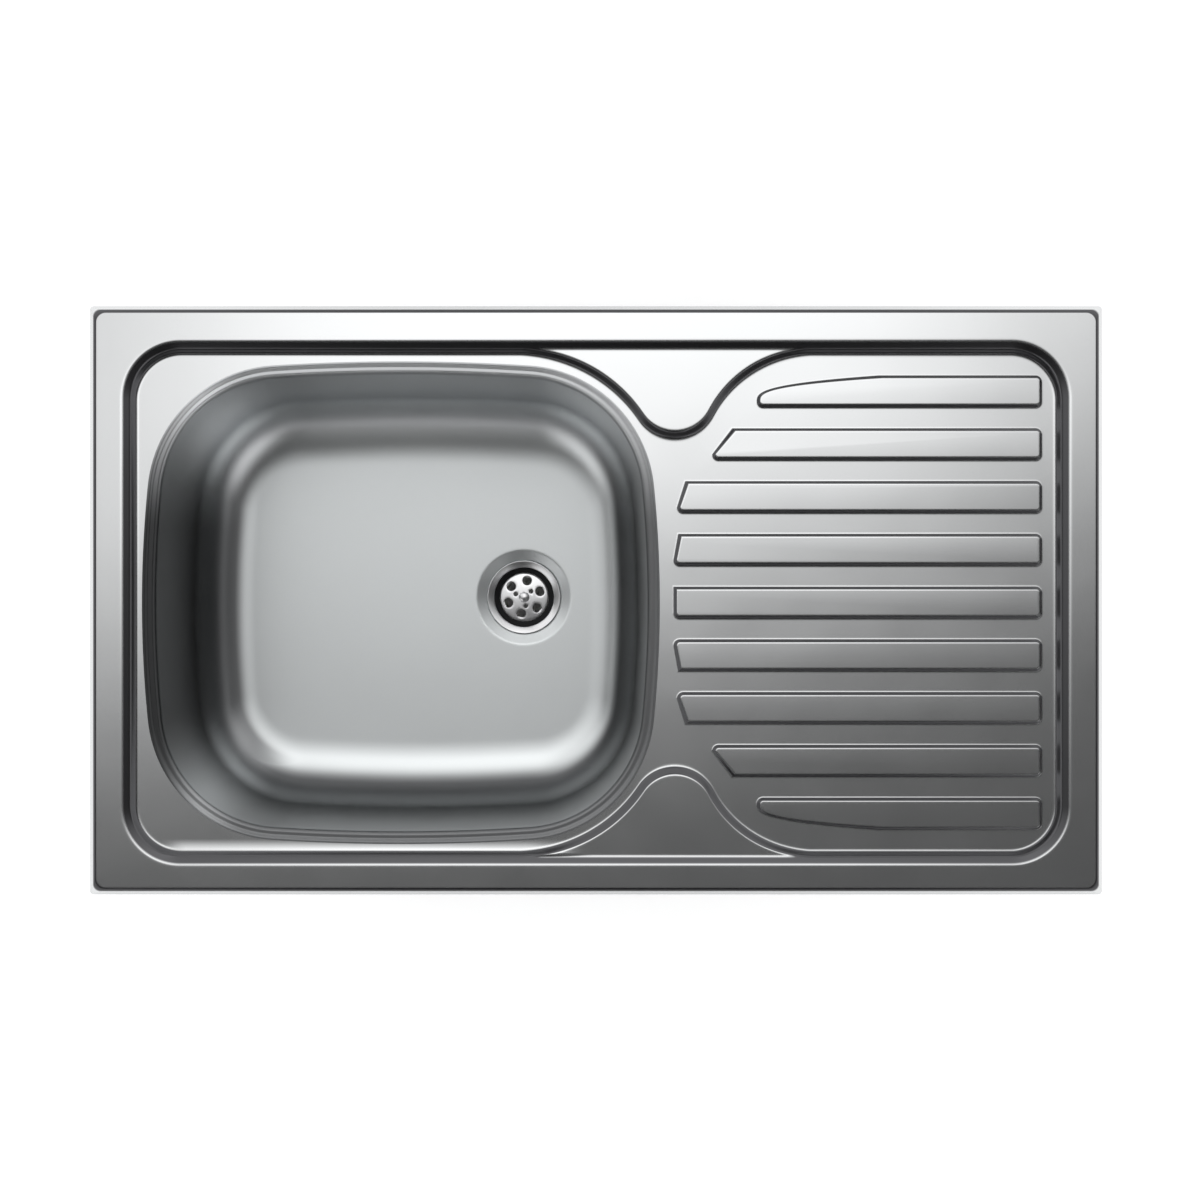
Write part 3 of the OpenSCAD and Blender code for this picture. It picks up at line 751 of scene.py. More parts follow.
def gasket(name, r, low, high, rounding):
    """A ring as wide as from 30.5 to r that follows the seat, from low to high above it."""
    corners = [(30.5, seat(30.5, low)), (r, seat(r, low)), (r, seat(r, high)), (30.5, seat(30.5, high))]
    return lathe(name, round_off(corners, rounding), WASTE)


flange = lathe("flange_dished", round_off(
    [(35, seat(35, 1.3)), (34.5, seat(34.5, 2.1)), (28.6, seat(28.6, 2.1)), (28.6, CUP_Z), (19.6, CUP_Z),
     (19.6, CUP_Z - 0.8), (29.4, CUP_Z - 0.8), (29.4, seat(29.4, 1.3))],
    [0.2, 0.4, 1.2, 1.0, 0.15, 0.15, 1.4, 0.8], 6), WASTE, 128)
thin_gasket = gasket("gasket_thin", 34, 0.15, 1.15, 0.2)
thick_gasket = gasket("gasket_thick", 37, -0.95, -2.95, 0.4)
plug_seat = lathe("plug_seat_black", round_off(
    [(23.3, CUP_Z), (28.6, CUP_Z), (28.6, CUP_Z + 5), (27.6, CUP_Z + 5), (23.3, CUP_Z + 3.5)],
    [0.2, 0.2, 0.2, 0.4, 0.6], 5), WASTE, 128)
for ob in (flange, thin_gasket, thick_gasket, plug_seat):
    tell(ob)

# %% [markdown]
# ### Strainer
#
# The strainer is a thin punched disc with a shallow dome. Cutting holes into a dome with tools leaves long
# thin faces that spoil the highlights. So the disc is first drawn flat: one ring for its rim and one for
# each hole. Filling and subdividing gives small even faces, and the dome comes last.

# %% Waste: strainer, flat
DISC_R = 21.8
holes = [(*polar((0, 0), 16.2, 20 + 60 * i), 4.5) for i in range(6)]
holes += [(*polar((0, 0), 8.6, 40 + 120 * i), 2.1) for i in range(3)] + [(0, 0, 3.3)]


def circle(cx, cy, r, n):
    turns = [2 * math.pi * i / n for i in range(n)]
    return [(cx + r * math.cos(t), cy + r * math.sin(t), 0) for t in turns]


strainer = start_ring("strainer_disc", circle(0, 0, DISC_R + 0.5, 96))
for cx, cy, r in holes:
    more_ring(strainer, circle(cx, cy, r + 0.3, 36 if r > 4 else 24))
bpy.ops.mesh.select_all(action="SELECT")
bpy.ops.mesh.fill(use_beauty=True)
bpy.ops.mesh.select_all(action="SELECT")
bpy.ops.mesh.subdivide(number_cuts=2)
bpy.ops.mesh.beautify_fill()
bpy.ops.mesh.select_all(action="DESELECT")
bpy.ops.mesh.select_mode(type="EDGE")
bpy.ops.mesh.select_non_manifold(
    extend=False, use_wire=False, use_multi_face=False, use_non_contiguous=False, use_verts=False)
print("strainer:", len(holes), "holes,", len(bmesh.from_edit_mesh(strainer.data).faces), "faces")


# %% [markdown]
# ### The holes' edges
#
# A punch leaves a small round edge on each hole. A bevel would also catch the disc's own triangles, so the
# open borders are extruded three times, each time a little inward and further down.


# %% Waste: edges of the strainer
def draw_in(step, drop):
    """Extrudes the selected borders: holes shrink by step, the outer rim grows by it, and both sink."""

    def place(v):
        x, y = v.co.x / MM, v.co.y / MM
        cx, cy, _ = min(holes, key=lambda h: math.hypot(x - h[0], y - h[1]) - h[2])
        way = -1
        if math.hypot(x, y) > DISC_R:
            cx, cy, way = 0, 0, 1
        u = Vector((x - cx, y - cy)).normalized() * step * way
        return Vector((x + u.x, y + u.y, v.co.z / MM - drop)) * MM

    bpy.ops.mesh.extrude_edges_indiv()
    move_selected(strainer, place)


for step, drop in ((0.14, 0.04), (0.10, 0.10), (0.06, 0.16)):
    draw_in(step, drop)
print("with the holes' edges:", len(bmesh.from_edit_mesh(strainer.data).faces), "faces")

# %% [markdown]
# ### The dome
#
# Each vertex is lifted by a parabola. Then only the outer border stays selected and is pulled down into
# the skirt that stands in the flange's cup.

# %% Waste: dome of the strainer
bm = bmesh.from_edit_mesh(strainer.data)
for v in bm.verts:
    v.co.z += (CUP_Z + 4 + 1.6 * (1 - (v.co.to_2d().length / MM / 23) ** 2)) * MM
for e in bm.edges:
    e.select = e.select and min(v.co.to_2d().length for v in e.verts) > DISC_R * MM
bmesh.update_edit_mesh(strainer.data)
for r, z in ((22.8, CUP_Z + 3.5), (23, CUP_Z + 3.1), (23, CUP_Z)):
    bpy.ops.mesh.extrude_edges_indiv()
    move_selected(strainer, lambda v: (v.co.to_2d().normalized() * r * MM).to_3d() + Vector((0, 0, z * MM)))
bpy.ops.mesh.select_mode(type="VERT")
bpy.ops.mesh.select_all(action="SELECT")
bpy.ops.transform.translate(value=(WASTE[0] * MM, WASTE[1] * MM, 0))
close_up(strainer, 0.004 * MM)
face_up(strainer)
apply_modifier(strainer, "SOLIDIFY", thickness=0.9 * MM, offset=-1)
smooth(strainer, 50)
tell(strainer)

# %% [markdown]
# ### The strainer's screw
#
# Its smooth head is part of a ball. A cut sphere would need a seam at the shank, so the ball's arc is
# simply the end of the cross-section that is spun.

# %% Waste: strainer screw
HEAD_Z = CUP_Z + 5.62
shank = round_off(
    [(0, -205.9), (3, -205.9), (3, HEAD_Z), (5, HEAD_Z), (5, HEAD_Z + 0.845)], [0, 0.5, 0, 0.1, 0.1],
    closed=False)[:-1]
tilts = [math.asin(5 / 8) * (1 - i / 12) for i in range(13)]
dome = [(8 * math.sin(a), HEAD_Z - 5.4 + 8 * math.cos(a)) for a in tilts]
strainer_screw = lathe("strainer_screw_domed", shank + dome, WASTE, 64, closed=False)
tell(strainer_screw)

# %% [markdown]
# ### The body
#
# The body is moulded in white plastic: a collar that presses on the thick gasket, a cup, a cone and the
# outlet. All of it is round, so it is one cross-section, with larger radii where a mould needs them.

# %% Waste: body
COLLAR_Z, CONE_Z, OUTLET_Z, END_Z, HUB_Z = -166.41, -190.41, -198.41, -224.41, -206.41
rise = (38 - HOLE_R) * SLOPE
body = lathe("waste_body_moulded", round_off(
    [(29.7, COLLAR_Z), (38, COLLAR_Z + rise), (38, COLLAR_Z + rise - 4), (32.5, COLLAR_Z - 4), (32.5, CONE_Z),
     (23.4, OUTLET_Z + 0.5), (22.8, OUTLET_Z - 2), (22.8, END_Z), (20.1, END_Z), (20.1, OUTLET_Z),
     (29.7, CONE_Z)],
    [0.2, 0.4, 1.2, 1.0, 2.0, 0.8, 0.8, 0.5, 0.4, 1.5, 2.0]), WASTE, 96)
tell(body)


# %% [markdown]
# ### Threads
#
# A bump could hint at a thread, but its teeth show in the outline. The Screw modifier winds the section of
# one tooth round the axis, and both ends are then closed.


# %% Helpers: threads
def thread(name, core, crest, pitch, z0, turns, at, steps):
    """The outline of one tooth, wound round the axis the way a lathe cuts it."""
    deep = crest - core
    shape = [(core - 0.2, 0.06), (core, 0.08), (core + deep * 0.9, 0.36), (crest, 0.44), (crest, 0.52),
             (core + deep * 0.9, 0.60), (core, 0.88), (core - 0.2, 0.90)]
    ob = loose_chain(name, [(r, 0, z0 + z * pitch) for r, z in shape])
    bpy.ops.object.mode_set(mode="OBJECT")
    apply_modifier(ob, "SCREW", angle=2 * math.pi, screw_offset=pitch * MM, iterations=turns, steps=steps,
                   render_steps=steps, use_merge_vertices=False)
    bpy.ops.object.mode_set(mode="EDIT")
    bpy.ops.mesh.select_all(action="SELECT")
    bpy.ops.mesh.fill_holes(sides=12)
    bpy.ops.mesh.select_all(action="SELECT")
    bpy.ops.transform.translate(value=(at[0] * MM, at[1] * MM, 0))
    bpy.ops.mesh.normals_make_consistent(inside=False)
    bpy.ops.object.mode_set(mode="OBJECT")
    return ob


# %% [markdown]
# ### Outlet thread, hub and insert
#
# Three spokes hold a hub in the middle of the cup, and a brass insert in it takes the strainer's screw. The
# spokes are one slab turned to three places. All that is moulded in one go is joined into one object.

# %% Waste: thread, hub and insert
parts = [thread("outlet_thread", 22.8, 23.9, 2.309, END_Z + 0.6, 9, WASTE, 64)]
section = [(5, HUB_Z), (7, HUB_Z), (7, HUB_Z + 12), (5, HUB_Z + 12)]
parts.append(lathe("hub", round_off(section, 0.3), WASTE, 48))
for i in range(3):
    a = math.radians(60 + 120 * i)
    section = [(-1.25, HUB_Z), (1.25, HUB_Z), (1.25, HUB_Z + 8), (-1.25, HUB_Z + 8)]
    spoke = slab("spoke", round_off(section, 0.4), 6.6, 14, "x")
    turned = Matrix.Translation((WASTE[0] * MM, WASTE[1] * MM, 0)) @ Matrix.Rotation(a, 4, "Z")
    bm = edit(spoke)
    bmesh.ops.transform(bm, matrix=turned, verts=bm.verts)
    bmesh.update_edit_mesh(spoke.data)
    bpy.ops.object.mode_set(mode="OBJECT")
    parts.append(spoke)
activate(body, *parts)
bpy.ops.object.join()
insert = lathe("insert_turned", round_off(
    [(3.05, HUB_Z), (5, HUB_Z), (5, HUB_Z + 12), (3.05, HUB_Z + 12)], [0.5, 0.3, 0.3, 0.5], 2), WASTE, 48)
for ob in (flange, thin_gasket, thick_gasket, plug_seat, strainer_screw, body, insert):
    smooth(ob, 40)
tell(body)
tell(insert)

# %% [markdown]
# ## Sealing strip and sound pads
#
# A strip of closed-cell foam runs under the whole rim and seals it to the worktop. Two heavy pads are
# stuck under the bowl and under the drainer, so that falling water doesn't drum. The strip could be swept
# along a curve, but pulling a ring through its section keeps the corners even, as in the pressed top. The
# last ring comes back to the first and closes it.

# %% Sealing strip
foam_section = round_off([(0.1, 0), (5.9, 0), (5.9, 3.2), (0.1, 3.2)], [0.7, 0.7, 0.2, 0.2], 3)
foam_rings = []
for d, z in foam_section:
    loop = frame_loop(HALF_L - 5.7 - d, HALF_W - 5.7 - d, max(8 - d, 2))
    foam_rings.append([(x, y, z) for x, y in loop])
strip = start_ring("foam_strip", foam_rings[0])
pull(strip, foam_rings[1:] + foam_rings[:1])
close_up(strip, 0.01 * MM)
smooth(strip, 50)
tell(strip)


# %% [markdown]
# ### Pads
#
# Each pad is a rounded sheet. The one under the bowl has a bite taken out for the waste. The knobs on them
# are so flat that the finish can show them.


# %% Pads
def rounded_outline(cx, cy, hl, hw, r, n=10):
    return (arc(cx + hl - r, cy + hw - r, r, 0, 90, n) + arc(cx - hl + r, cy + hw - r, r, 90, 180, n)
            + arc(cx - hl + r, cy - hw + r, r, 180, 270, n) + arc(cx + hl - r, cy - hw + r, r, 270, 360, n))


PAD_T, PAD_HL, BITE_R = 2.5, 105, 57
pad_x = WASTE[0] - 42.5 - 12 - PAD_HL
bite = math.degrees(math.asin(math.sqrt(BITE_R**2 - (WASTE[0] - pad_x - PAD_HL) ** 2) / BITE_R))
outline = rounded_outline(pad_x, RECESS_Y, PAD_HL, 100, 15) + arc(*WASTE, BITE_R, 180 + bite, 180 - bite, 12)
bowl_pad = slab("bowl_pad_embossed", outline, BOWL_Z - SHEET - PAD_T, PAD_T)
outline = rounded_outline(239.25, RECESS_Y, 110, 150, 15)
drainer_pad = slab("drainer_pad_embossed", outline, FLOOR_Z - SHEET - PAD_T, PAD_T)
for ob in (bowl_pad, drainer_pad):
    soften(ob, 0.5)
    smooth(ob)
    tell(ob)

# %% [markdown]
# ## Fixing clips
#
# Eight clips hold the sink down. Each has a bent bracket welded under the rim, a square nut that can't
# turn in it, a screw and a toothed claw. The claw swings outward under the worktop, and the screw then
# draws it up. One clip is modelled with the rim along Y and the worktop on the +X side. It is then
# copied to each place, and each copy has its own mesh. The bracket could be folded from a plate. As all
# its bends show in one side view, that view is filled and pulled to its width, which is simpler.

# %% Clip: bracket
bracket = slab("bracket", round_off(
    [(1.5, -25.5), (14, -25.5), (14, -24), (3, -24), (3, 1.7), (13.3, 1.7), (13.3, 3.2), (1.5, 3.2)],
    [2.1, 0.1, 0.1, 0.6, 0.6, 0.1, 0.1, 2.1], 6), -10, 20, "y")
cut(bracket, rod(8.5, 0, -30, -20, 2.8))
bm = edit(bracket, "EDGE", "DESELECT")
for e in bm.edges:
    a, b = (v.co / MM for v in e.verts)
    upright = abs(a.x - b.x) < 0.2 and abs(a.y - b.y) < 0.01 and abs(a.z - b.z) > 1
    if upright and min(a.x, b.x) > 13 and abs(abs(a.y) - 10) < 0.01:
        e.select = True
bmesh.update_edit_mesh(bracket.data)
bpy.ops.mesh.bevel(offset=2.5 * MM, segments=6)
bpy.ops.object.mode_set(mode="OBJECT")
soften(bracket, 0.15, 2, 50)
smooth(bracket)
tell(bracket)

# %% [markdown]
# ### The nut
#
# A square nut sits on the bracket's foot, against its back, where it can't turn. It is a slab that is
# drilled and has its edges broken.

# %% Clip: nut
nut = slab("nut", round_off([(4.5, -4), (12.5, -4), (12.5, 4), (4.5, 4)], 0.5), -24, 4)
cut(nut, rod(8.5, 0, -30, -10, 2.55, 32))
soften(nut, 0.25, 2, 50)
smooth(nut)
tell(nut)

# %% [markdown]
# ### The screw
#
# Shank and head are one cross-section. Two bars cut the cross slot, and the thread is wound on as real
# teeth, because it shows between nut and claw.

# %% Clip: screw
screw = lathe("screw", round_off(
    [(0, -59.6), (4.75, -59.6), (4.75, -56.1), (2.1, -56.1), (2.1, -14.6), (1.6, -14), (0, -14)],
    [0, 0.9, 0.3, 0.2, 0.1, 0.1, 0], closed=False), (0, 0), 48, closed=False)
for turn in (0, 1):
    slot = [(-3, -0.6), (3, -0.6), (3, 0.6), (-3, 0.6)]
    cut(screw, slab("slot", [(a, b) if turn == 0 else (-b, a) for a, b in slot], -61, 3.2))
soften(screw, 0.12, 2, 55)
wound = thread("wound", 2.1, 2.5, 0.8, -55.9, 50, (0, 0), 24)
activate(screw, wound)
bpy.ops.object.join()
smooth(screw, 40)
tell(screw)

# %% [markdown]
# ### The claw
#
# The claw is one stamped strip, bent up at its far end, with teeth that bite into the worktop. A bend needs
# a window, so the end face is spun through a quarter turn about the axis of the bend, which gives a true
# radius. Three notches leave the teeth.

# %% Clip: claw
wide = math.degrees(math.acos(6.5 / 8))
claw = slab("claw", [(6.5, -19.3)] + arc(0, 0, 8, -wide, 180 + wide, 40) + [(-6.5, -19.3)], -56, 2)
bm = edit(claw, "FACE", "DESELECT")
for f in bm.faces:
    if f.calc_center_median().y < -19.2 * MM:
        f.select = True
bmesh.update_edit_mesh(claw.data)
bpy.ops.mesh.spin(steps=8, angle=math.pi / 2, center=(0, -19.3 * MM, -53.3 * MM), axis=(1, 0, 0))
bpy.ops.mesh.extrude_region()
bpy.ops.transform.translate(value=(0, 0, 10.3 * MM))
close_up(claw, 0.004 * MM)
cut(claw, rod(0, 0, -60, -50, 2.6, 40))
for i in (-1, 0, 1):
    x = i * 13 / 3
    notch = [(x - 1.57, -42.9), (x, -45.5), (x + 1.57, -42.9), (x, -42)]
    cut(claw, slab("notch", notch, -24, 6, "y"))
soften(claw, 0.2, 2, 50)
smooth(claw)
tell(claw)

# %% [markdown]
# ### Eight clips
#
# An array could place them, but every screw and claw moves by itself. So each is an object with its own
# mesh, and its place and turn are applied, which leaves the object at the origin.

# %% Clip: copies
CLIPS = {
    "front_left": (-290, -224, -90), "front_middle": (0, -224, -90), "front_right": (290, -224, -90),
    "back_left": (-290, 220, 90), "back_middle": (0, 220, 90), "back_right": (290, 220, 90),
    "left_end": (-402, 0, 180), "right_end": (402, 0, 0),
}


def copies(master, shift=0.0):
    """A copy of master at each clip's place, moved out by shift, with its own mesh."""
    out = {}
    kind = master.name
    for name, (x, y, turn) in CLIPS.items():
        activate(master)
        bpy.ops.object.duplicate()
        ob = name_it(f"{kind}_{name}_look")
        place, turned = Matrix.Translation((x * MM, y * MM, 0)), Matrix.Rotation(math.radians(turn), 4, "Z")
        ob.matrix_world = place @ turned @ Matrix.Translation((shift * MM, 0, 0))
        bpy.ops.object.transform_apply(location=True, rotation=True, scale=True)
        out[name] = ob
    bpy.data.objects.remove(master)
    return out


brackets, nuts, screws, claws = copies(bracket), copies(nut), copies(screw, 8.5), copies(claw, 8.5)
print("clips:", ", ".join(CLIPS))

# %% [markdown]
# ## Finishes
#
# Each finish is a small formula. By hand one adds a Math node for each of its steps and wires it, which
# soon is hard to read. The class below lets the formula be written with plain operators, and every
# operator adds that node.


# %% Shader maths
class Wire:
    """A socket in a node tree that takes part in formulas."""

    def __init__(self, tree, socket):
        self.tree, self.socket = tree, socket

    def node(self, kind, out=0, inputs=None, **settings):
        """Adds a node of that kind, with its settings and inputs, and returns one of its outputs."""
        made = self.tree.nodes.new(kind)
        for key, value in settings.items():
            setattr(made, key, value)
        for key, value in (inputs or {}).items():
            if isinstance(value, Wire):
                self.tree.links.new(value.socket, made.inputs[key])
            else:
                made.inputs[key].default_value = value
        return Wire(self.tree, made.outputs[out])

    def maths(self, operation, a, b=0.0):
        return self.node("ShaderNodeMath", inputs={0: a, 1: b}, operation=operation)

    def __add__(self, other):
        return self.maths("ADD", self, other)

    def __radd__(self, other):
        return self.maths("ADD", other, self)

    def __sub__(self, other):
        return self.maths("SUBTRACT", self, other)

    def __rsub__(self, other):
        return self.maths("SUBTRACT", other, self)

    def __mul__(self, other):
        return self.maths("MULTIPLY", self, other)

    def __rmul__(self, other):
        return self.maths("MULTIPLY", other, self)

    def __truediv__(self, other):
        return self.maths("DIVIDE", self, other)

    def __rtruediv__(self, other):
        return self.maths("DIVIDE", other, self)

    def __pow__(self, other):
        return self.maths("POWER", self, other)

    def axes(self):
        """The three parts of this vector."""
        return [self.node("ShaderNodeSeparateXYZ", out=k, inputs={0: self}) for k in range(3)]

    def ramp(self, low, high):
        """0 below low, 1 above high and a smooth rise between."""
        inputs = {0: self, 1: low, 2: high}
        return self.node("ShaderNodeMapRange", inputs=inputs, interpolation_type="SMOOTHSTEP")

    def noise(self, scale, detail):
        """Noise over this vector, about 0.5 in the middle."""
        return self.node("ShaderNodeTexNoise", inputs={"Vector": self, "Scale": scale, "Detail": detail})

    def cells(self, scale, out="Distance", randomness=1.0):
        """Cells over this vector: how far off the cell's middle is, or the cell's own random colour."""
        inputs = {"Vector": self, "Scale": scale, "Randomness": randomness}
        return self.node("ShaderNodeTexVoronoi", out=out, inputs=inputs)

    def blend(self, a, b):
        """Colour a where this is 0, colour b where it is 1."""
        return self.node("ShaderNodeMix", out=2, inputs={0: self, 6: (*a, 1), 7: (*b, 1)}, data_type="RGBA")

    def bump(self, depth, below=None):
        """This value as a height map of that depth in metres."""
        inputs = {"Height": self, "Strength": 1.0, "Distance": depth}
        if below:
            inputs["Normal"] = below
        return self.node("ShaderNodeBump", inputs=inputs)


# %% [markdown]
# ### Materials
#
# By hand one would wire these nodes in the shader editor. Here a finish is a function that takes the place
# on the piece and returns what goes into the sockets of the Principled shader. The place is in object
# coordinates, so a pattern stays on its piece when that moves.


# %% Materials
def material(name, build):
    mat = bpy.data.materials.new(name)
    mat.use_nodes = True
    tree = mat.node_tree
    surface = tree.nodes["Principled BSDF"]
    place = Wire(tree, tree.nodes.new("ShaderNodeTexCoord").outputs["Object"])
    for key, value in build(place).items():
        if isinstance(value, Wire):
            tree.links.new(value.socket, surface.inputs[key])
        else:
            surface.inputs[key].default_value = value
    return mat


# %% [markdown]
# ### Steel
#
# Rolled steel is no perfect mirror: its polish is a little cloudy, fine wear breaks the highlights, and the
# sheet has soft waves. A picture of brushed steel would repeat over so large a piece, and noise doesn't.
# All of it stays faint, because the photo shows calm surfaces.


# %% Finish: steel
def steel(colour, rough, spread, wave, change=None, shape=None):
    """Rolled steel: a faint cloudiness in the polish, fine wear, and a sheet that isn't quite flat. change
    returns a mask with the darker colour of painted shade and the roughness that the steel has where the mask
    is 1."""

    def build(p):
        cloud = p.noise(18, 3)
        fine = p.noise(900, 2)
        mottle = cloud * 0.6 + fine * 0.4
        tone = mottle.blend([c * 0.96 for c in colour], [min(c * 1.04, 1) for c in colour])
        grit = rough + (cloud - 0.5) * spread + (fine - 0.5) * spread * 0.3
        level = p.noise(14, 1).bump(wave)
        if shape:
            level = shape(p).bump(1.0, level)
        if change:
            mask, dark, worn, dull = change(p)
            # Painted shade: where the mask is 1, the colour turns to the dark colour that change gives.
            tone = mask.node("ShaderNodeMix", out=2, inputs={0: mask, 6: tone, 7: dark}, data_type="RGBA")
            grit = grit * (1 - worn) + worn * dull
        return {
            "Metallic": 1.0, "Base Color": tone, "Roughness": grit,
            "Normal": fine.bump(0.0000003, level),
        }

    return build


# %% [markdown]
# ### Where the steel differs
#
# Three places differ from the flat sheet. The tight bends get painted shade, a darker colour. The strip in
# front of the bowl rises so little that only its reflection shows it, so it is a bump. The bowl's wall was
# stretched in the press and is glossier than its brushed floor; its darker colour is painted shade and
# painted reflection, darkest at the far left and lighter towards the back. The changes are ramps, since a
# hard step would look painted.


# %% Finish: bends, front strip and bowl
def painted_bend_shade(p):
    """Painted shade: a dark colour, and a rougher finish, where the value stored on the mesh marks a tight
    bend or the sloping outer edge.
    """
    steep = p.node("ShaderNodeAttribute", out="Fac", attribute_name="bend")
    # Painted shade: this dark colour stands for the shade that falls in the bends.
    return steep, (0.11, 0.11, 0.115, 1), steep, 0.28


def front_roll(p):
    """The narrow strip in front of the bowl rises a little towards the wall of the sunk area."""
    x, y, _ = p.axes()
    in_front = y.maths("MINIMUM", y.maths("MAXIMUM", -0.2035 - y, 0.0), 0.0112)
    ends = (1 - x.ramp(-0.06, 0.0)) * x.ramp(-0.378, -0.350)
    return in_front * in_front * 7 * y.ramp(-0.2185, -0.2155) * ends


def bowl_wall_painted_shade(p):
    """Painted shade and painted reflection on the bowl's wall: a colour darker than the brushed floor,
    darkest at the far left and lighter towards the back, and the wall is also glossier. Outside, where inner
    is 0, a fixed 0.3 of that colour is mixed in."""
    x, y, z = p.axes()
    inner = p.node("ShaderNodeAttribute", out="Fac", attribute_name="inner")
    # Painted shade and painted reflection: the colour is darkest at the far left of the wall and lighter
    # towards the back and the front.
    side = 0.17 + (0 - x).ramp(0.300, 0.337) * 0.15 - (0 - x).ramp(0.337, 0.372) * 0.26
    shade = side + y.ramp(0.06, 0.18) * 0.5 + (0 - y).ramp(0.10, 0.19) * 0.05
    dark = shade.blend((0, 0, 0), (1, 1.02, 1.04))
    # Where the painted colour lies: up the wall, and on the left also down in the curve into the floor.
    low = z.ramp(-0.1559, -0.1520) * (0 - x).ramp(0.280, 0.330)
    wall = low.maths("MAXIMUM", low, z.ramp(-0.1530, -0.1430))
    worn = z.ramp(-0.1558, -0.1535) * 0.5 + z.ramp(-0.150, -0.125) * 0.5
    worn = worn - z.ramp(-0.0095, -0.0075) * 0.6
    return wall * inner + (1 - inner) * 0.3, dark, worn, 0.30


satin = material("satin_steel_top", steel((0.755, 0.765, 0.77), 0.17, 0.04, 0.00012, painted_bend_shade, front_roll))
satin_bowl = material("satin_steel_bowl", steel((0.88, 0.91, 0.915), 0.43, 0.04, 0.0001, bowl_wall_painted_shade))
polished = material("polished_steel", steel((0.93, 0.93, 0.94), 0.30, 0.05, 0.00005))
for mat in (satin, satin_bowl, polished):
    print(f"{mat.name}: {len(mat.node_tree.nodes)} nodes")


# %% [markdown]
# ### Zinc plate
#
# The clips are galvanised, and zinc sets in small crystals. Cells with a random grey each give those, and
# soft noise over them keeps the contrast low.


# %% Finish: zinc plate
def zinc_plate(p):
    """Zinc plate: soft grey crystals, each a little lighter or duller than the next."""
    crystal = p.cells(420, "Color")
    cloud = p.noise(60, 3)
    return {
        "Metallic": 1.0,
        "Base Color": (crystal * 0.25 + cloud * 0.75).blend((0.58, 0.61, 0.64), (0.72, 0.75, 0.78)),
        "Roughness": 0.33 + (crystal - 0.5) * 0.06 + (cloud - 0.5) * 0.1,
        "Normal": cloud.bump(0.00002),
    }


# %% [markdown]
# ### Plastic, rubber, foam and pads
#
# Mouldings take the fine grain of their mould, foam shows its cells, and the pads are rolled with flat
# knobs and gather dust. Noise and cells at the real scale give all of them, with bumps as deep as the real
# ones.


# %% Finish: plastic, rubber, foam and pads
def moulded(colour, spread, rough, size, grain, gloss=0.5):
    """Moulded plastic or rubber: one colour with a faint spread and the fine grain of the mould."""

    def build(p):
        skin = p.noise(size, 3)
        light = [min(c * (1 + spread), 1) for c in colour]
        return {
            "Base Color": skin.blend([c * (1 - spread) for c in colour], light),
            "Roughness": rough + (skin - 0.5) * 0.12,
            "Normal": skin.bump(grain), "Specular IOR Level": gloss,
        }

    return build


def foam(p):
    """Closed-cell foam: small round cells, dark between them."""
    cell = p.cells(1100)
    return {
        "Base Color": cell.blend((0.03, 0.03, 0.032), (0.008, 0.008, 0.009)),
        "Roughness": 0.86 + cell * 0.08, "Normal": (1 - cell).bump(0.0004),
    }


def pad(p):
    """Bitumen pad: rolled with a pattern of flat knobs, and a little dusty."""
    knob = p.cells(150, randomness=0.0)
    dust = p.noise(220, 4)
    return {
        "Base Color": dust.blend((0.075, 0.078, 0.082), (0.125, 0.13, 0.135)),
        "Roughness": 0.7 + (dust - 0.5) * 0.2,
        "Normal": (1 - knob.ramp(0.30, 0.42)).bump(0.0006, dust.bump(0.00008)),
    }


zinc = material("zinc_plate", zinc_plate)
black_rubber = material("black_rubber", moulded((0.007, 0.007, 0.008), 0.3, 0.5, 900, 0.00004, 0.2))
white_plastic = material("white_plastic", moulded((0.74, 0.74, 0.72), 0.025, 0.36, 420, 0.000012))
black_foam = material("black_foam", foam)
grey_pad = material("grey_pad", pad)
brass = material("brass", steel((0.80, 0.60, 0.28), 0.26, 0.08, 0.0001))
for mat in (zinc, black_rubber, white_plastic, black_foam, grey_pad, brass):
    print(f"{mat.name}: {len(mat.node_tree.nodes)} nodes")

# %% [markdown]
# ## Finish of each piece and the body it rides on
#
# A finish could be picked for each piece by hand. A table keeps them together and shows at a glance what is
# made of what. Each piece takes the place of its solid and rides on the body that carries it: the screws and
# claws have bodies of their own, and all else rides on the sink. The eight nuts stand for one solid.

# %% Finish and ride
SLOTS = {
    "satin_steel": satin, "polished_steel": polished, "galvanised_steel": zinc, "black_foam": black_foam,
    "black_rubber": black_rubber, "grey_pad": grey_pad, "white_plastic": white_plastic, "brass": brass,
}


def finish(ob, slot, body="sink", nodes=()):
    ob.data.materials.clear()
    ob.data.materials.append(SLOTS[slot])
    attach(ob, body)
    if nodes:
        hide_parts(*nodes)


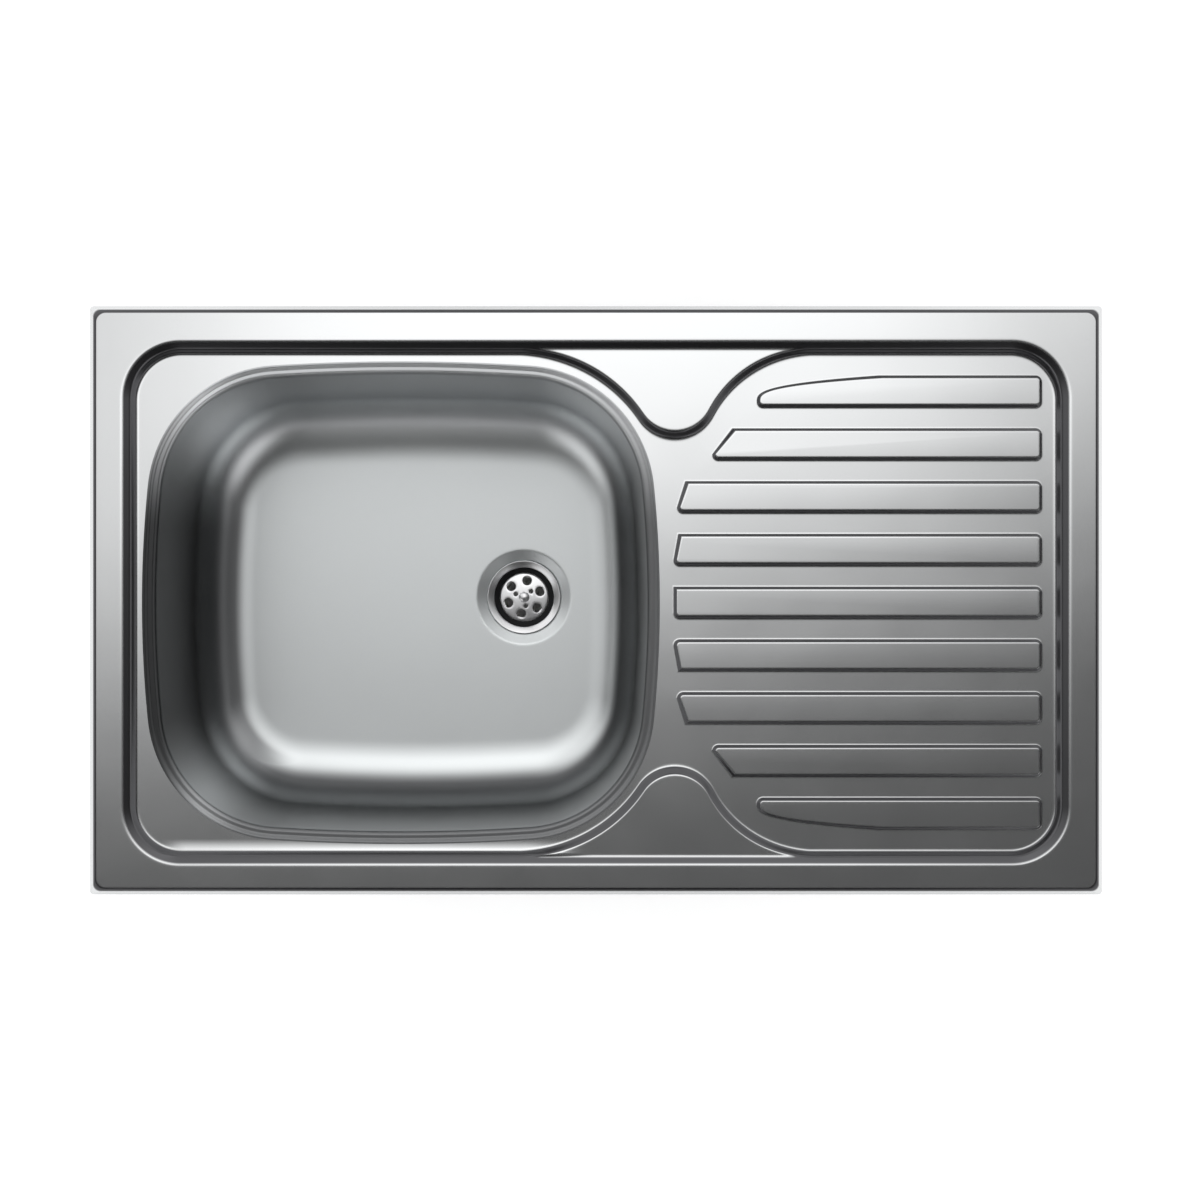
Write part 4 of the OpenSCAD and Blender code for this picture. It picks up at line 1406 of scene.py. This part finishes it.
for ob, slot, node in (
    (top, "satin_steel", "drainer_top"), (bowl, "satin_steel", "bowl"),
    (flange, "polished_steel", "waste_flange"), (thin_gasket, "black_rubber", "flange_gasket"),
    (thick_gasket, "black_rubber", "body_gasket"), (plug_seat, "black_rubber", "plug_seat_ring"),
    (strainer, "polished_steel", "strainer"), (strainer_screw, "polished_steel", "strainer_screw"),
    (body, "white_plastic", "waste_body"), (insert, "brass", "brass_insert"),
    (strip, "black_foam", "sealing_strip"), (bowl_pad, "grey_pad", "bowl_sound_pad"),
    (drainer_pad, "grey_pad", "drainer_sound_pad"),
):
    finish(ob, slot, nodes=[node])
bowl.data.materials[0] = satin_bowl
for place in CLIPS:
    finish(brackets[place], "galvanised_steel", nodes=[f"bracket_{place}"])
    finish(nuts[place], "galvanised_steel", nodes=["clip_nuts"] if place == "front_left" else ())
    finish(screws[place], "galvanised_steel", f"screw_{place}", [f"screw_{place}"])
    finish(claws[place], "galvanised_steel", f"claw_{place}", [f"claw_{place}"])
print("finishes:", ", ".join(SLOTS))

# %% [markdown]
# ## Floor
#
# The sink was photographed on white. The floor is pale and glows a little for the camera only, so that it
# comes out white and still keeps the sink's shadow. It doesn't glow right below the waste, because a
# white patch would show through the strainer's holes.

# %% Floor
clear_selection()
bpy.ops.mesh.primitive_plane_add(size=12, location=(0, 0, whole_low.z - 0.0005))
floor = name_it("studio_floor")
white = bpy.data.materials.new("studio_white")
white.use_nodes = True
paint = white.node_tree.nodes["Principled BSDF"]
paint.inputs["Base Color"].default_value = (0.9, 0.9, 0.9, 1)
paint.inputs["Roughness"].default_value = 0.9
tree = white.node_tree
spot = Wire(tree, tree.nodes.new("ShaderNodeTexCoord").outputs["Object"])
outlet = (WASTE[0] * MM, WASTE[1] * MM, 0)
away = spot.node("ShaderNodeVectorMath", out="Value", inputs={0: spot, 1: outlet}, operation="DISTANCE")
bare = away.ramp(0.026, 0.034).blend((0, 0, 0), (1, 1, 1))
glow = Wire(tree, tree.nodes.new("ShaderNodeLightPath").outputs["Is Camera Ray"]) * 0.32
tree.links.new(bare.socket, paint.inputs["Emission Color"])
tree.links.new(glow.socket, paint.inputs["Emission Strength"])
floor.data.materials.append(white)
print(f"floor at height {floor.location.z:.4f} m")

# %% [markdown]
# ## Light
#
# A lamp would show in the steel as a small bright patch, so the light comes from all round, from the
# world. The camera and all dull surfaces see it plain white. Only mirror reflections see a studio: a
# large soft box overhead, dark surroundings and a bright ring round the horizon. That gives the steel its
# run from light to dark, while every colour comes out about as it is written.

# %% Light
world = bpy.data.worlds.new("studio")
bpy.context.scene.world = world
world.use_nodes = True
tree = world.node_tree
background = tree.nodes["Background"]
dx, dy, dz = Wire(tree, tree.nodes.new("ShaderNodeTexCoord").outputs["Generated"]).axes()

BOX_LIGHT, RING_LIGHT = 1.3, 1.1

# Where a reflected ray meets a ceiling: across is to the side and along is towards the back.
up = dz.maths("MAXIMUM", dz, 0.05)
across = dx / up
along = dy / up - 0.193 * across - 0.035
off = across.maths("ABSOLUTE", across)
soft_box = along.ramp(-0.25, 0.12) ** 2 * (1 - along.ramp(1.05, 1.5))
soft_box = soft_box * (1 - 0.4 * off.ramp(0.18, 0.34)) * (1 - off.ramp(0.6, 1.2))
ceiling = 0.03 + 0.07 * dz.ramp(0.84, 0.93)

# The bright ring round the horizon stands higher towards the corners and is low towards the front.
slant = (dx * dy).maths("ABSOLUTE", dx * dy) / (dx * dx + dy * dy + 0.0001)
above = (dz - 0.27 * slant.ramp(0.2, 0.42)).ramp(0.40, 0.48)
front = (0 - dy).ramp(0.3, 0.7) * (1 - dz.ramp(0.27, 0.34))
ring = (1 - above) * (1 - front)
pattern = (ceiling + BOX_LIGHT * soft_box) * (1 - ring) + RING_LIGHT * ring
paths = tree.nodes.new("ShaderNodeLightPath")
gloss, seen = (Wire(tree, paths.outputs[k]) for k in ("Is Glossy Ray", "Is Camera Ray"))
only = gloss * (1 - seen)
strength = pattern * only + (1 - only)
world.cycles.sampling_method = "NONE"
background.inputs["Color"].default_value = (1, 1, 1, 1)
tree.links.new(strength.socket, background.inputs["Strength"])
print("light:", len(tree.nodes), "nodes")

# %% [markdown]
# ## Camera
#
# The photo looks straight down, from near enough that the bowl's floor looks clearly smaller than its
# mouth. The distance and the angle of view were fitted to that and to the sink's size in the picture.

# %% Camera
camera_data = bpy.data.cameras.new("camera")
camera_data.angle = math.radians(44.1)
camera = bpy.data.objects.new("camera", camera_data)
bpy.context.scene.collection.objects.link(camera)
camera.location = (0.0034, 0.00025, 1.26)
bpy.context.scene.camera = camera
bpy.context.scene.view_settings.view_transform = "Standard"
print("camera at", [round(v, 4) for v in camera.location])

# %% [markdown]
# ## Measure and finish
#
# The looks must not stand out of the solids, so the size of the solids is printed.

# %% End
print("size of the solids:", [round(v, 5) for v in whole_high - whole_low])
